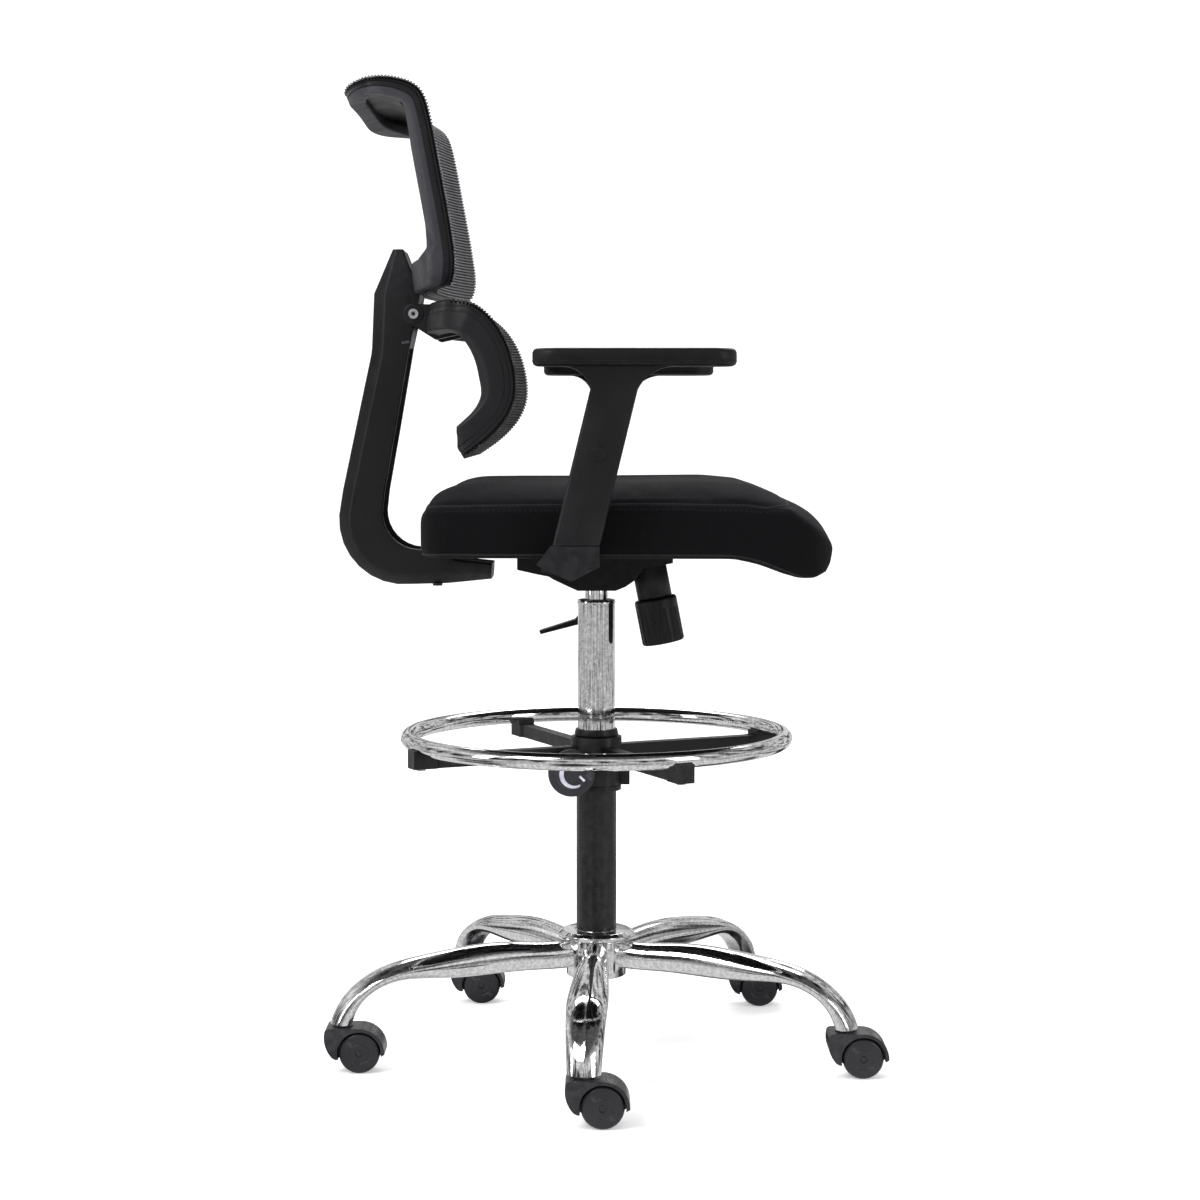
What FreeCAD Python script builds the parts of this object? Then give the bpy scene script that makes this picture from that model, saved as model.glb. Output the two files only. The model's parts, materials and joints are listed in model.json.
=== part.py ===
"""Drafting chair: a five-legged chrome base on twin-wheel casters, a tall gas column with an
adjustable foot ring, a tilting seat with height-adjustable arms, and a two-part mesh back.

Frame: origin on the floor under the column, +X towards the seat's front edge, +Y towards the
sitter's left, +Z up.  Millimetres.
"""
import FreeCAD, Part
import math
import os

import Sketcher
from FreeCAD import Placement, Rotation, Vector

os.makedirs("parts", exist_ok=True)
doc = FreeCAD.newDocument("drafting_chair")
pieces = []

# ------------------------------------------------------------------ driving dimensions

DIMENSIONS = {
    # base
    "hub_radius": 37.5, "hub_bottom": 100, "hub_crown_bottom": 147.5, "hub_crown_radius": 48.5,
    "hub_top": 158, "leg_count": 5, "first_leg_angle": -92.4, "leg_wall": 2.2,
    "leg_tip_height": 59.5, "caster_circle_radius": 322,
    # column
    "column_radius": 23, "column_wall": 1.5, "column_bottom": 98, "column_top": 572,
    "sleeve_wall": 2, "sleeve_top": 334, "cylinder_radius": 14, "cylinder_bottom": 300,
    "cylinder_top": 606, "rod_radius": 5, "rod_bottom": 89, "rod_top": 530,
    "running_clearance": 0.06,
    # casters
    "wheel_radius": 25, "wheel_width": 14.3, "wheel_gap": 12.4, "caster_trail": 21,
    "hood_radius": 31, "caster_width": 42, "caster_top": 56, "stem_radius": 5,
    # foot ring
    "ring_radius": 234, "ring_tube_radius": 10, "ring_height": 401, "spoke_width": 22,
    "spoke_bottom": 374.5, "spoke_depth": 16, "first_spoke_angle": -65, "spoke_count": 4,
    "ring_knob_radius": 29, "ring_knob_x": -30.5, "ring_knob_z": 361,
    # mechanism
    "housing_width": 90, "sheet_metal": 3, "tilt_pin_x": -45, "tilt_pin_z": 614,
    "tilt_pin_radius": 5, "tension_lean": 11, "tension_x": 73, "tension_z": 574.5,
    "tension_knob_radius": 26.4, "tension_knob_length": 57, "spring_cover_radius": 21.4,
    "lever_radius": 4, "lever_pivot_z": 615.5, "lever_reach": 212,
    # seat
    "seat_width": 500, "seat_bottom": 637, "seat_top": 724, "seat_rear": -203,
    "seat_front": 276, "pan_thickness": 12, "pan_margin": 14, "seat_plate_top": 636.5,
    "spine_width": 80,
    # back
    "back_half_width": 225, "frame_width": 28, "trim_depth": 13, "frame_depth": 18,
    "back_hollow": 40, "lumbar_half_width": 215, "lumbar_depth": 34, "lumbar_band": 30,
    "lumbar_cut": -161, "back_low_band": 42, "back_lip_band": 40, "lip_thickness": 15,
    "back_corner": 42, "lumbar_corner": 30, "lip_corner": 130, "lip_corner_depth": 50,
    "lip_arch": 15,
    "lumbar_pivot_x": -221, "lumbar_pivot_z": 923, "lumbar_bolt_radius": 4,
    "knuckle_radius": 12.5, "mesh_thickness": 1.6,
    # arms
    "arm_offset": 279, "arm_thickness": 34, "arm_lean": 13.7, "arm_seam": 654,
    "arm_centre_x": -22.5, "arm_width": 52, "arm_wall": 5, "pad_length": 228, "pad_width": 86,
    "pad_bottom": 855, "pad_thickness": 20, "pad_centre_x": 43, "arm_button_radius": 6.8,
    "arm_button_z": 758,
}


class Size:
    """A length that remembers the spreadsheet formula that it comes from."""

    def __init__(self, value, formula):
        self.value = float(value)
        self.formula = formula

    def combine(self, other, sign, result):
        return Size(result, "(%s %s %s)" % (self.formula, sign, as_size(other).formula))

    def __add__(self, other):
        return self.combine(other, "+", self.value + as_size(other).value)

    def __sub__(self, other):
        return self.combine(other, "-", self.value - as_size(other).value)

    def __mul__(self, other):
        return self.combine(other, "*", self.value * as_size(other).value)

    def __truediv__(self, other):
        return self.combine(other, "/", self.value / as_size(other).value)

    def __neg__(self):
        return Size(-self.value, "(0 - %s)" % self.formula)

    def __float__(self):
        return self.value


def as_size(number):
    return number if isinstance(number, Size) else Size(number, "%.6f" % number)


class Sheet:
    """The driving dimensions, as sizes with the sheet's own names."""


def fill_sheet():
    table = doc.addObject("Spreadsheet::Sheet", "dimensions")
    for row, (alias, number) in enumerate(DIMENSIONS.items(), start=1):
        table.set("A%d" % row, alias)
        table.set("B%d" % row, str(number))
        table.setAlias("B%d" % row, alias)
    doc.recompute()
    sizes = Sheet()
    for alias in DIMENSIONS:
        setattr(sizes, alias, Size(table.get(alias), "dimensions." + alias))
    return sizes


d = fill_sheet()
column_inner = d.column_radius - d.column_wall
sleeve_radius = d.column_radius + d.sleeve_wall

# ------------------------------------------------------------------ building helpers


def bind(item, prop, size):
    """Set a property and tie it to the sheet."""
    size = as_size(size)
    setattr(item, prop, size.value)
    item.setExpression(prop, size.formula)


def new_body(label):
    body = doc.addObject("PartDesign::Body", label)
    body.Label = label
    pieces.append(body)
    return body


def new_sketch(body, role, lift=0):
    """A sketch on one of the body's own origin planes, lifted along the plane's normal."""
    sketch = body.newObject("Sketcher::SketchObject", body.Label + "_sketch")
    plane = [f for f in body.Origin.OriginFeatures if f.Role == role][0]
    sketch.AttachmentSupport = [(plane, "")]
    sketch.MapMode = "FlatFace"
    lift = as_size(lift)
    sketch.AttachmentOffset = Placement(Vector(0, 0, lift.value), Rotation())
    sketch.setExpression("AttachmentOffset.Base.z", lift.formula)
    return sketch


def pin_point(sketch, geometry, end, x, y):
    for kind, size in (("DistanceX", as_size(x)), ("DistanceY", as_size(y))):
        index = sketch.addConstraint(
            Sketcher.Constraint(kind, -1, 1, geometry, end, size.value))
        sketch.setExpression("Constraints[%d]" % index, size.formula)


def draw_outline(sketch, corners):
    """A closed outline.  A corner is (x, y); (x, y, radius) rounds the side that starts there."""
    count = len(corners)
    points = [Vector(float(c[0]), float(c[1]), 0) for c in corners]
    for i in range(count):
        start, end = points[i], points[(i + 1) % count]
        if len(corners[i]) == 3:
            sketch.addGeometry(side_arc(start, end, float(corners[i][2])), False)
        else:
            sketch.addGeometry(Part.LineSegment(start, end), False)
    for i in range(count):
        is_arc = len(corners[i]) == 3
        pin_point(sketch, i, 1, corners[i][0], corners[i][1])
        if is_arc:
            pin_point(sketch, i, 2, *corners[(i + 1) % count][:2])
        else:
            after = (i + 1) % count
            if len(corners[after]) == 3:
                pin_point(sketch, i, 2, *corners[after][:2])
            else:
                sketch.addConstraint(Sketcher.Constraint("Coincident", i, 2, after, 1))


def side_arc(start, end, radius):
    """The short arc from start to end; a positive radius bulges to the right of the way."""
    chord = end - start
    half = chord.Length / 2
    sagitta = abs(radius) - math.sqrt(radius * radius - half * half)
    right = Vector(chord.y, -chord.x, 0).normalize()
    middle = (start + end) / 2 + right * math.copysign(sagitta, radius)
    return Part.Arc(start, middle, end)


def draw_circle(sketch, x, y, radius):
    x, y, radius = as_size(x), as_size(y), as_size(radius)
    index = sketch.addGeometry(
        Part.Circle(Vector(x.value, y.value, 0), Vector(0, 0, 1), radius.value), False)
    pin_point(sketch, index, 3, x, y)
    constraint = sketch.addConstraint(Sketcher.Constraint("Radius", index, radius.value))
    sketch.setExpression("Constraints[%d]" % constraint, radius.formula)


def extrude(body, kind, sketch, length, both_ways=True, reverse=False):
    feature = body.newObject("PartDesign::" + kind, body.Label + "_" + kind.lower())
    feature.Profile = sketch
    bind(feature, "Length", length)
    feature.Midplane = both_ways
    feature.Reversed = reverse
    return feature


def turned(label, outline):
    """A solid of revolution about Z from an outline of (radius, height) corners."""
    body = new_body(label)
    sketch = new_sketch(body, "XZ_Plane")
    draw_outline(sketch, outline)
    turn = body.newObject("PartDesign::Revolution", label + "_turned")
    turn.Profile = sketch
    turn.ReferenceAxis = (sketch, ["V_Axis"])
    turn.Angle = 360
    return body


def ring_outline(inner, outer, bottom, top):
    return [(inner, bottom), (outer, bottom), (outer, top), (inner, top)]


def made(label, shape):
    """A piece whose shape is worked out here from the sheet's sizes."""
    feature = doc.addObject("Part::Feature", label)
    feature.Label = label
    feature.Shape = shape
    feature.Placement = shape.Placement
    pieces.append(feature)
    return feature


def closed_face(points):
    return Part.Face(Part.makePolygon(points + points[:1]))


def smooth_edge(points):
    curve = Part.BSplineCurve()
    curve.interpolate([Vector(*p) for p in points])
    return curve.toShape()


def slab(outline, low, high):
    """An outline of (x, z) corners, extended from y = low to y = high."""
    face = closed_face([Vector(x, low, z) for x, z in outline])
    return face.extrude(Vector(0, high - low, 0))


def cylinder(radius, start, end):
    along = end - start
    return Part.makeCylinder(radius, along.Length, start, along)


def mirrored(shape):
    """The same piece on the chair's left."""
    return shape.mirror(Vector(), Vector(0, 1, 0))


def placed(part, x=0, y=0, z=0, angle=0, axis=Vector(0, 0, 1)):
    part.Placement = Placement(Vector(x, y, z), Rotation(axis, angle))
    return part


# ------------------------------------------------------------------ base


def base_hub():
    crown_groove = d.hub_crown_radius - 5
    turned("base_hub", [
        (d.column_radius, d.hub_bottom), (d.hub_radius, d.hub_bottom),
        (d.hub_radius, d.hub_crown_bottom), (d.hub_crown_radius, d.hub_crown_bottom + 2.5),
        (d.hub_crown_radius, d.hub_top - 5), (crown_groove, d.hub_top),
        (d.column_radius, d.hub_top)])


# Leg sections from hub to tip: reach, height, width, depth, slope in degrees.
LEG_SECTIONS = [
    (34, 129, 33, 35.5, 0),
    (100, 128.5, 39, 36, 0),
    (165, 126.5, 45, 37, 2),
    (215, 123.5, 48, 29, 7),
    (258, 118.5, 48, 21, 25),
    (287, 107, 46, 19, 42),
    (309, 89, 43, 20, 56),
    (322.5, 66, 40, 24, 66),
    (326.5, 52, 40, 25, 72),
]


def leg_section(reach, height, width, depth, slope, wall):
    """An egg-shaped ring, narrow above and full below, square to the leg."""
    half_width = width / 2 - wall
    half_depth = depth / 2 - wall
    tilt = math.radians(slope)
    ring = []
    for across, up in ((0, 1), (0.62, 0.72), (1, -0.1), (0.72, -0.82),
                       (0, -1), (-0.72, -0.82), (-1, -0.1), (-0.62, 0.72)):
        rise = up * half_depth
        ring.append(Vector(reach + rise * math.sin(tilt), across * half_width,
                           height + rise * math.cos(tilt)))
    curve = Part.BSplineCurve()
    curve.interpolate(Points=ring, PeriodicFlag=True)
    return Part.Wire(curve.toShape())


def leg_solid(wall):
    return Part.makeLoft([leg_section(*section, wall) for section in LEG_SECTIONS], True)


def base_legs():
    tip = float(d.leg_tip_height)
    reach = float(d.caster_circle_radius)
    socket = Part.makeCylinder(8, 16, Vector(reach, 0, tip))
    below_tip = Part.makeBox(120, 120, 60, Vector(reach - 60, -60, tip - 60))
    end_plate = Part.makeBox(120, 120, 3, Vector(reach - 60, -60, tip))
    bore = Part.makeCylinder(float(d.stem_radius), 40, Vector(reach, 0, tip - 20))
    bore = bore.common(Part.makeBox(40, 40, 33.5, Vector(reach - 20, -20, tip - 20)))
    hub = Part.makeCylinder(float(d.hub_radius), 200)
    outer = leg_solid(0)
    hollow = leg_solid(float(d.leg_wall)).cut(end_plate).cut(socket)
    leg = outer.cut(hollow).cut(below_tip).cut(hub).cut(bore)
    leg = max(leg.Solids, key=lambda solid: solid.Volume)
    for number in range(int(d.leg_count.value)):
        angle = d.first_leg_angle.value + 360 / d.leg_count.value * number
        placed(made("base_leg_%d" % (number + 1), leg), angle=angle)


def leg_directions():
    count = int(d.leg_count.value)
    for number in range(count):
        angle = math.radians(d.first_leg_angle.value + 360 / count * number)
        yield number + 1, Vector(math.cos(angle), math.sin(angle), 0)


def caster_stems():
    """Five steel pins, pressed into the leg tips, that the casters turn on."""
    stems = []
    for _, outwards in leg_directions():
        foot = outwards * d.caster_circle_radius.value
        pin = Part.makeCylinder(float(d.stem_radius), 41.5, foot + Vector(0, 0, 31))
        collar = Part.makeCylinder(8, 2.4, foot + Vector(0, 0, 57))
        stems.append(pin.fuse(collar).removeSplitter())
    made("caster_stems", Part.makeCompound(stems))


# ------------------------------------------------------------------ casters


def caster_housing():
    """Front block and curved hood over a centre web, with the fixed axle stubs."""
    trail, radius = float(d.caster_trail), float(d.wheel_radius)
    half = float(d.caster_width) / 2
    top = float(d.caster_top)
    axle = Vector(trail, 0, radius)
    rim = float(d.hood_radius)
    crown = axle + Vector(0, 0, rim)
    shoulder = axle + Vector(rim * math.cos(math.pi / 4), 0, rim * math.sin(math.pi / 4))
    tail = axle + Vector(rim, 0, -1)
    edges = [
        Part.makeLine(Vector(-16, 0, top), crown),
        Part.Arc(crown, shoulder, tail).toShape(),
        Part.makeLine(tail, Vector(34, 0, 14)),
        Part.makeLine(Vector(34, 0, 14), Vector(-12, 0, 20)),
        Part.Arc(Vector(-12, 0, 20), Vector(-20, 0, 34), Vector(-21, 0, 51)).toShape(),
        Part.Arc(Vector(-21, 0, 51), Vector(-19.5, 0, 54.5), Vector(-16, 0, top)).toShape(),
    ]
    face = Part.Face(Part.Wire(edges))
    block = face.extrude(Vector(0, 2 * half, 0))
    block.translate(Vector(0, -half, 0))
    web = 5.5
    well_radius = radius + 1.3
    for side in (1, -1):
        well = cylinder(well_radius, axle + Vector(0, side * web, 0),
                        axle + Vector(0, side * (half + 1), 0))
        below = Part.makeBox(60, half, 26, Vector(0, web if side > 0 else -half - web, -2))
        block = block.cut(well).cut(below)
        hub = cylinder(7, axle + Vector(0, side * (web - 1), 0),
                       axle + Vector(0, side * (web + 0.4), 0))
        stub = cylinder(4, axle, axle + Vector(0, side * (half - 3), 0))
        block = block.fuse(hub).fuse(stub)
    bore = Part.makeCylinder(float(d.stem_radius + d.running_clearance), 40, Vector(0, 0, 30.5))
    return max(block.cut(bore).removeSplitter().Solids, key=lambda solid: solid.Volume)


def wheel_solid():
    """One twin-caster wheel about its own axis: crowned tread, dished outer face."""
    radius = float(d.wheel_radius)
    width = float(d.wheel_width)
    bore = 4 + float(d.running_clearance)
    corners = [(bore, 0), (radius - 2, 0), (radius, 2), (radius, width - 3),
               (radius - 3, width - 0.6), (radius - 6, width - 0.6), (radius - 8, width - 1.6),
               (8, width), (bore, width)]
    face = closed_face([Vector(r, y, 0) for r, y in corners])
    return face.revolve(Vector(), Vector(0, 1, 0), 360)


def casters():
    housing = caster_housing()
    wheel = wheel_solid()
    inner_face = float(d.wheel_gap) / 2
    for number, outwards in leg_directions():
        foot = outwards * d.caster_circle_radius.value
        axle = foot + Vector(float(d.caster_trail), 0, float(d.wheel_radius))
        placed(made("caster_housing_%d" % number, housing), foot.x, foot.y)
        placed(made("caster_wheel_left_%d" % number, wheel), axle.x, axle.y + inner_face, axle.z)
        placed(made("caster_wheel_right_%d" % number, wheel), axle.x, axle.y - inner_face,
               axle.z, 180, Vector(1, 0, 0))


# ------------------------------------------------------------------ column and lift


def column():
    inner_floor = d.column_bottom + 3
    turned("column_tube", [
        (d.rod_radius + 0.3, d.column_bottom), (d.column_radius, d.column_bottom),
        (d.column_radius, d.column_top), (column_inner, d.column_top),
        (column_inner, inner_floor), (d.rod_radius + 0.3, inner_floor)])
    turned("column_sleeve", ring_outline(d.column_radius, sleeve_radius, d.hub_top, d.sleeve_top))
    turned("column_bushing", ring_outline(
        d.cylinder_radius + d.running_clearance, column_inner, d.column_top - 72, d.column_top))


def thrust_bearing():
    """A washer and its balls, that carry the rod's flange."""
    floor = float(d.column_bottom) + 3
    washer = Part.makeCylinder(17, 2, Vector(0, 0, floor)).cut(
        Part.makeCylinder(7, 2, Vector(0, 0, floor)))
    solids = [washer]
    ball_count, ball_radius, race_radius = 10, 2.5, 12
    for number in range(ball_count):
        angle = 2 * math.pi * number / ball_count
        centre = Vector(race_radius * math.cos(angle), race_radius * math.sin(angle),
                        floor + 2 + ball_radius)
        solids.append(Part.makeSphere(ball_radius, centre))
    made("thrust_bearing", Part.makeCompound(solids))


def gas_lift():
    race = d.column_bottom + 10.1
    piston = d.cylinder_radius - 1.5 - d.running_clearance
    groove = d.rod_bottom + 4
    turned("piston_rod", [
        (0, d.rod_bottom), (d.rod_radius, d.rod_bottom), (d.rod_radius, groove),
        (d.rod_radius - 1, groove), (d.rod_radius - 1, groove + 2.5),
        (d.rod_radius, groove + 2.5), (d.rod_radius, race), (17, race), (17, race + 3),
        (d.rod_radius, race + 3), (d.rod_radius, d.rod_top - 14), (piston, d.rod_top - 14),
        (piston, d.rod_top), (0, d.rod_top)])
    turned("rod_clip", ring_outline(d.rod_radius - 1, d.rod_radius + 4, groove, groove + 2.5))
    bore = d.cylinder_radius - 1.5
    turned("gas_cylinder", [
        (d.rod_radius + d.running_clearance, d.cylinder_bottom),
        (d.cylinder_radius, d.cylinder_bottom), (d.cylinder_radius, d.cylinder_top - 27),
        (d.cylinder_radius - 0.7, d.cylinder_top), (4 + d.running_clearance.value, d.cylinder_top),
        (4 + d.running_clearance.value, d.cylinder_top - 31), (bore, d.cylinder_top - 31),
        (bore, d.cylinder_bottom + 12), (d.rod_radius + d.running_clearance, d.cylinder_bottom + 12)])
    turned("release_pin", [
        (0, d.cylinder_top - 26), (4, d.cylinder_top - 26), (4, d.cylinder_top + 4),
        (3, d.cylinder_top + 5), (0, d.cylinder_top + 5)])


# ------------------------------------------------------------------ foot ring


def spoke_directions():
    count = int(d.spoke_count.value)
    for number in range(count):
        angle = math.radians(d.first_spoke_angle.value - 90 + 360 / count * number)
        yield Vector(math.cos(angle), math.sin(angle), 0)


def ring_solid():
    return Part.makeTorus(float(d.ring_radius), float(d.ring_tube_radius),
                          Vector(0, 0, float(d.ring_height)))


def foot_ring():
    ring = doc.addObject("Part::Torus", "foot_ring")
    ring.Label = "foot_ring"
    bind(ring, "Radius1", d.ring_radius)
    bind(ring, "Radius2", d.ring_tube_radius)
    ring.Placement = Placement(Vector(0, 0, float(d.ring_height)), Rotation())
    ring.setExpression("Placement.Base.z", d.ring_height.formula)
    pieces.append(ring)
    turned("ring_bushing", [
        (d.column_radius + d.running_clearance, d.sleeve_top + 0.5), (31, d.sleeve_top + 0.5),
        (31, 341), (26, 341), (26, 402.5), (27.5, 403.5), (26, 411),
        (d.column_radius + d.running_clearance, 411)])


def ring_spider():
    """Hub with four spokes whose ends cradle the ring, a clamp ear and a ribbed lug."""
    clearance = float(d.running_clearance)
    bottom, depth = float(d.spoke_bottom), float(d.spoke_depth)
    width, reach = float(d.spoke_width), float(d.ring_radius)
    spider = Part.makeCylinder(31.5, 60, Vector(0, 0, 341.5))
    for along in spoke_directions():
        bar = Part.makeBox(reach - 5, width - 6, depth, Vector(10, -(width - 6) / 2, bottom))
        foot = Part.makeBox(26, width, 22.5, Vector(reach - 13, -width / 2, bottom))
        nose = Part.makeCylinder(width / 2, depth, Vector(reach - 13, 0, bottom))
        arm = bar.fuse(foot).fuse(nose)
        arm.rotate(Vector(), Vector(0, 0, 1), math.degrees(math.atan2(along.y, along.x)))
        spider = spider.fuse(arm)
    ear = Part.makeBox(24, 58, 22, Vector(-45, -29, 350))
    spider = spider.fuse(ear)
    lug = Part.makeBox(15, 20, 26, Vector(26.5, -10, 341.5))
    spider = spider.fuse(lug)
    for number in range(4):
        groove = Part.makeBox(2, 2.5, 30, Vector(40.5, -8.8 + 5 * number, 340))
        spider = spider.cut(groove)
    bore = Part.makeCylinder(26 + clearance, 100, Vector(0, 0, 320))
    shaft_x, shaft_z = float(d.ring_knob_x), float(d.ring_knob_z)
    shaft = cylinder(3.5 + clearance, Vector(shaft_x, -60, shaft_z), Vector(shaft_x, 60, shaft_z))
    spider = spider.cut(bore).cut(shaft).cut(ring_solid())
    screws = []
    for along in spoke_directions():
        foot = along * reach
        screws.append(screw(foot + Vector(0, 0, bottom - 2.5), Vector(0, 0, 1), 3, 17, 5.5, 2.5))
    group = Part.makeCompound(screws)
    made("ring_spider", spider.cut(group).removeSplitter())
    made("ring_screws", group)


def screw(start, direction, radius, length, head_radius, head_depth):
    """A socket screw from the outside of its head along direction."""
    head = Part.makeCylinder(head_radius, head_depth, start, direction)
    socket = Part.makeCylinder(head_radius * 0.45, head_depth * 0.6, start, direction)
    shank = Part.makeCylinder(radius, length, start, direction)
    return head.fuse(shank).cut(socket).removeSplitter()


def ring_knob():
    """The clamp's disc with a raised arc and pointer, on its cross shaft."""
    x, z, radius = float(d.ring_knob_x), float(d.ring_knob_z), float(d.ring_knob_radius)
    disc = cylinder(radius, Vector(x, -52, z), Vector(x, -36, z))
    rim = [edge for edge in disc.Edges if edge.BoundBox.YLength < 0.01]
    disc = disc.makeFillet(3, rim)
    neck = cylinder(9, Vector(x, -37, z), Vector(x, -29.5, z))
    shaft = cylinder(3.5, Vector(x, -30, z), Vector(x, 33, z))
    arc = cylinder(20, Vector(x, -52.8, z), Vector(x, -51, z))
    arc = arc.cut(cylinder(14.5, Vector(x, -54, z), Vector(x, -40, z)))
    gap = Part.makeBox(30, 5, 16, Vector(x + 4, -55, z - 2))
    arc = arc.cut(gap)
    pointer = Part.makeBox(4, 1.8, 8, Vector(x + 20, -52.8, z - 4))
    made("ring_knob", disc.fuse([neck, shaft, arc, pointer]).removeSplitter())


# ------------------------------------------------------------------ mechanism

HOUSING_OUTLINE = [(-72, 612), (-53, 600), (-34, 591), (-23, 586), (24, 586), (36, 591),
                   (46, 598), (58, 613), (94, 620), (94, 627), (-30, 627), (-72, 618)]
HOUSING_HOLLOW = [(-69, 614), (-51, 603), (-33, 594), (-22, 589), (23, 589), (35, 594),
                  (44, 601), (56, 616), (91, 622.5), (91, 640), (-69, 640)]


def mechanism_housing():
    """A pressed steel tray with a tapered socket for the gas cylinder."""
    body = new_body("mechanism_housing")
    wall = d.sheet_metal
    outside = new_sketch(body, "XZ_Plane")
    draw_outline(outside, HOUSING_OUTLINE)
    extrude(body, "Pad", outside, d.housing_width)
    hollow = new_sketch(body, "XZ_Plane")
    draw_outline(hollow, HOUSING_HOLLOW)
    extrude(body, "Pocket", hollow, d.housing_width - wall * 2)
    socket = new_sketch(body, "XY_Plane", 587.5)
    draw_circle(socket, 0, 0, d.cylinder_radius + 5)
    extrude(body, "Pad", socket, 16.5, both_ways=False)
    bore = new_sketch(body, "XY_Plane", 570)
    draw_circle(bore, 0, 0, d.cylinder_radius)
    extrude(body, "Pocket", bore, 60, both_ways=False, reverse=True)
    pin_hole = new_sketch(body, "XZ_Plane")
    draw_circle(pin_hole, d.tilt_pin_x, d.tilt_pin_z, d.tilt_pin_radius)
    extrude(body, "Pocket", pin_hole, d.housing_width + 10)
    lever_slot = new_sketch(body, "XZ_Plane", -(d.housing_width / 2))
    draw_outline(lever_slot, [(-6, 608), (6, 608), (6, 623), (-6, 623)])
    extrude(body, "Pocket", lever_slot, 12)
    bolt_hole = new_sketch(body, "XY_Plane", 600)
    draw_circle(bolt_hole, 66.5, 0, 7)
    extrude(body, "Pocket", bolt_hole, 40, both_ways=False, reverse=True)


def tilt_pin():
    pin = doc.addObject("Part::Cylinder", "tilt_pin")
    pin.Label = "tilt_pin"
    bind(pin, "Radius", d.tilt_pin_radius)
    bind(pin, "Height", d.housing_width + 14)
    pin.Placement = Placement(
        Vector(float(d.tilt_pin_x), float(d.housing_width) / 2 + 7, float(d.tilt_pin_z)),
        Rotation(Vector(1, 0, 0), 90))
    pin.setExpression("Placement.Base.x", d.tilt_pin_x.formula)
    pin.setExpression("Placement.Base.z", d.tilt_pin_z.formula)
    pieces.append(pin)


def along_tension(distance):
    """A point on the tension screw's axis, so far below the knob's top face."""
    lean = math.radians(d.tension_lean.value)
    down = Vector(math.sin(lean), 0, -math.cos(lean))
    return Vector(float(d.tension_x), 0, float(d.tension_z)) + down * distance


def tension_unit():
    """Spring cover under the housing's nose, the spring in it, and the ribbed knob."""
    radius = float(d.spring_cover_radius)
    above = slab([(20, 572), (46.5, 597.5), (58.5, 612.5), (95, 619.6), (95, 660), (20, 660)],
                 -60, 60)
    cover = cylinder(radius, along_tension(-70), along_tension(-0.6))
    inside = cylinder(radius - 3, along_tension(-80), along_tension(-4))
    hole = cylinder(6, along_tension(-10), along_tension(5))
    made("spring_cover", cover.cut(inside).cut(hole).cut(above).removeSplitter())
    wire_radius, coil_radius, pitch = 2, 13, 6.5
    helix = Part.makeHelix(pitch, 20, coil_radius)
    ring = Part.Wire(Part.makeCircle(wire_radius, Vector(coil_radius, 0, 0), Vector(0, 1, 0)))
    coil = Part.Wire(helix).makePipeShell([ring], True, True)
    coil.rotate(Vector(), Vector(0, 1, 0), -d.tension_lean.value)
    coil.translate(along_tension(-8))
    made("tension_spring", coil)
    knob_radius, length = float(d.tension_knob_radius), float(d.tension_knob_length)
    knob = cylinder(knob_radius, along_tension(0), along_tension(length))
    rims = [edge for edge in knob.Edges if abs(edge.Length - 2 * math.pi * knob_radius) < 0.1]
    knob = knob.makeFillet(3.5, rims)
    rib_count = 20
    axis = along_tension(1) - along_tension(0)
    for number in range(rib_count):
        groove = cylinder(2, along_tension(14) + Vector(0, knob_radius + 0.7, 0),
                          along_tension(length + 2) + Vector(0, knob_radius + 0.7, 0))
        groove.rotate(along_tension(0), axis, 360 / rib_count * number)
        knob = knob.cut(groove)
    bolt = cylinder(5, along_tension(-44), along_tension(5))
    made("tension_knob", knob.fuse(bolt).removeSplitter())


def height_lever():
    """A bent rod that presses the release pin, with a flat paddle at its outer end."""
    radius, pivot_z = float(d.lever_radius), float(d.lever_pivot_z)
    reach = float(d.lever_reach)
    stops = [Vector(0, -6, pivot_z), Vector(0, 96, pivot_z), Vector(-14, reach - 40, 545),
             Vector(-26, reach - 12, 529)]
    lever = cylinder(radius, stops[0], stops[1])
    for start, end in zip(stops[1:], stops[2:]):
        lever = lever.fuse(cylinder(radius, start, end)).fuse(Part.makeSphere(radius, start))
    paddle = slab([(-20, 534), (-24, 525), (-74, 512), (-76, 516)], reach - 24, reach)
    lever = lever.fuse(paddle).removeSplitter()
    made("height_lever", lever)


# ------------------------------------------------------------------ seat


def seat_plate():
    """Top plate with a flange each side of the housing, turning on the tilt pin."""
    body = new_body("seat_plate")
    gauge = d.sheet_metal
    top = new_sketch(body, "XY_Plane", d.seat_plate_top - gauge)
    draw_outline(top, [(-97, -75), (100, -75), (100, 75), (-97, 75)])
    extrude(body, "Pad", top, gauge, both_ways=False)
    flange_outline = [(-97, d.seat_plate_top - 1), (-97, 612), (-75, 607), (-50, 602),
                      (-38, 602), (-14, 622), (-14, d.seat_plate_top - 1)]
    inner_gap = d.housing_width / 2 + 0.6
    for side in (1, -1):
        flange = new_sketch(body, "XZ_Plane", (inner_gap + gauge / 2) * side)
        draw_outline(flange, flange_outline)
        extrude(body, "Pad", flange, gauge)
    pin_hole = new_sketch(body, "XZ_Plane")
    draw_circle(pin_hole, d.tilt_pin_x, d.tilt_pin_z, d.tilt_pin_radius + d.running_clearance)
    extrude(body, "Pocket", pin_hole, 200)


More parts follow.
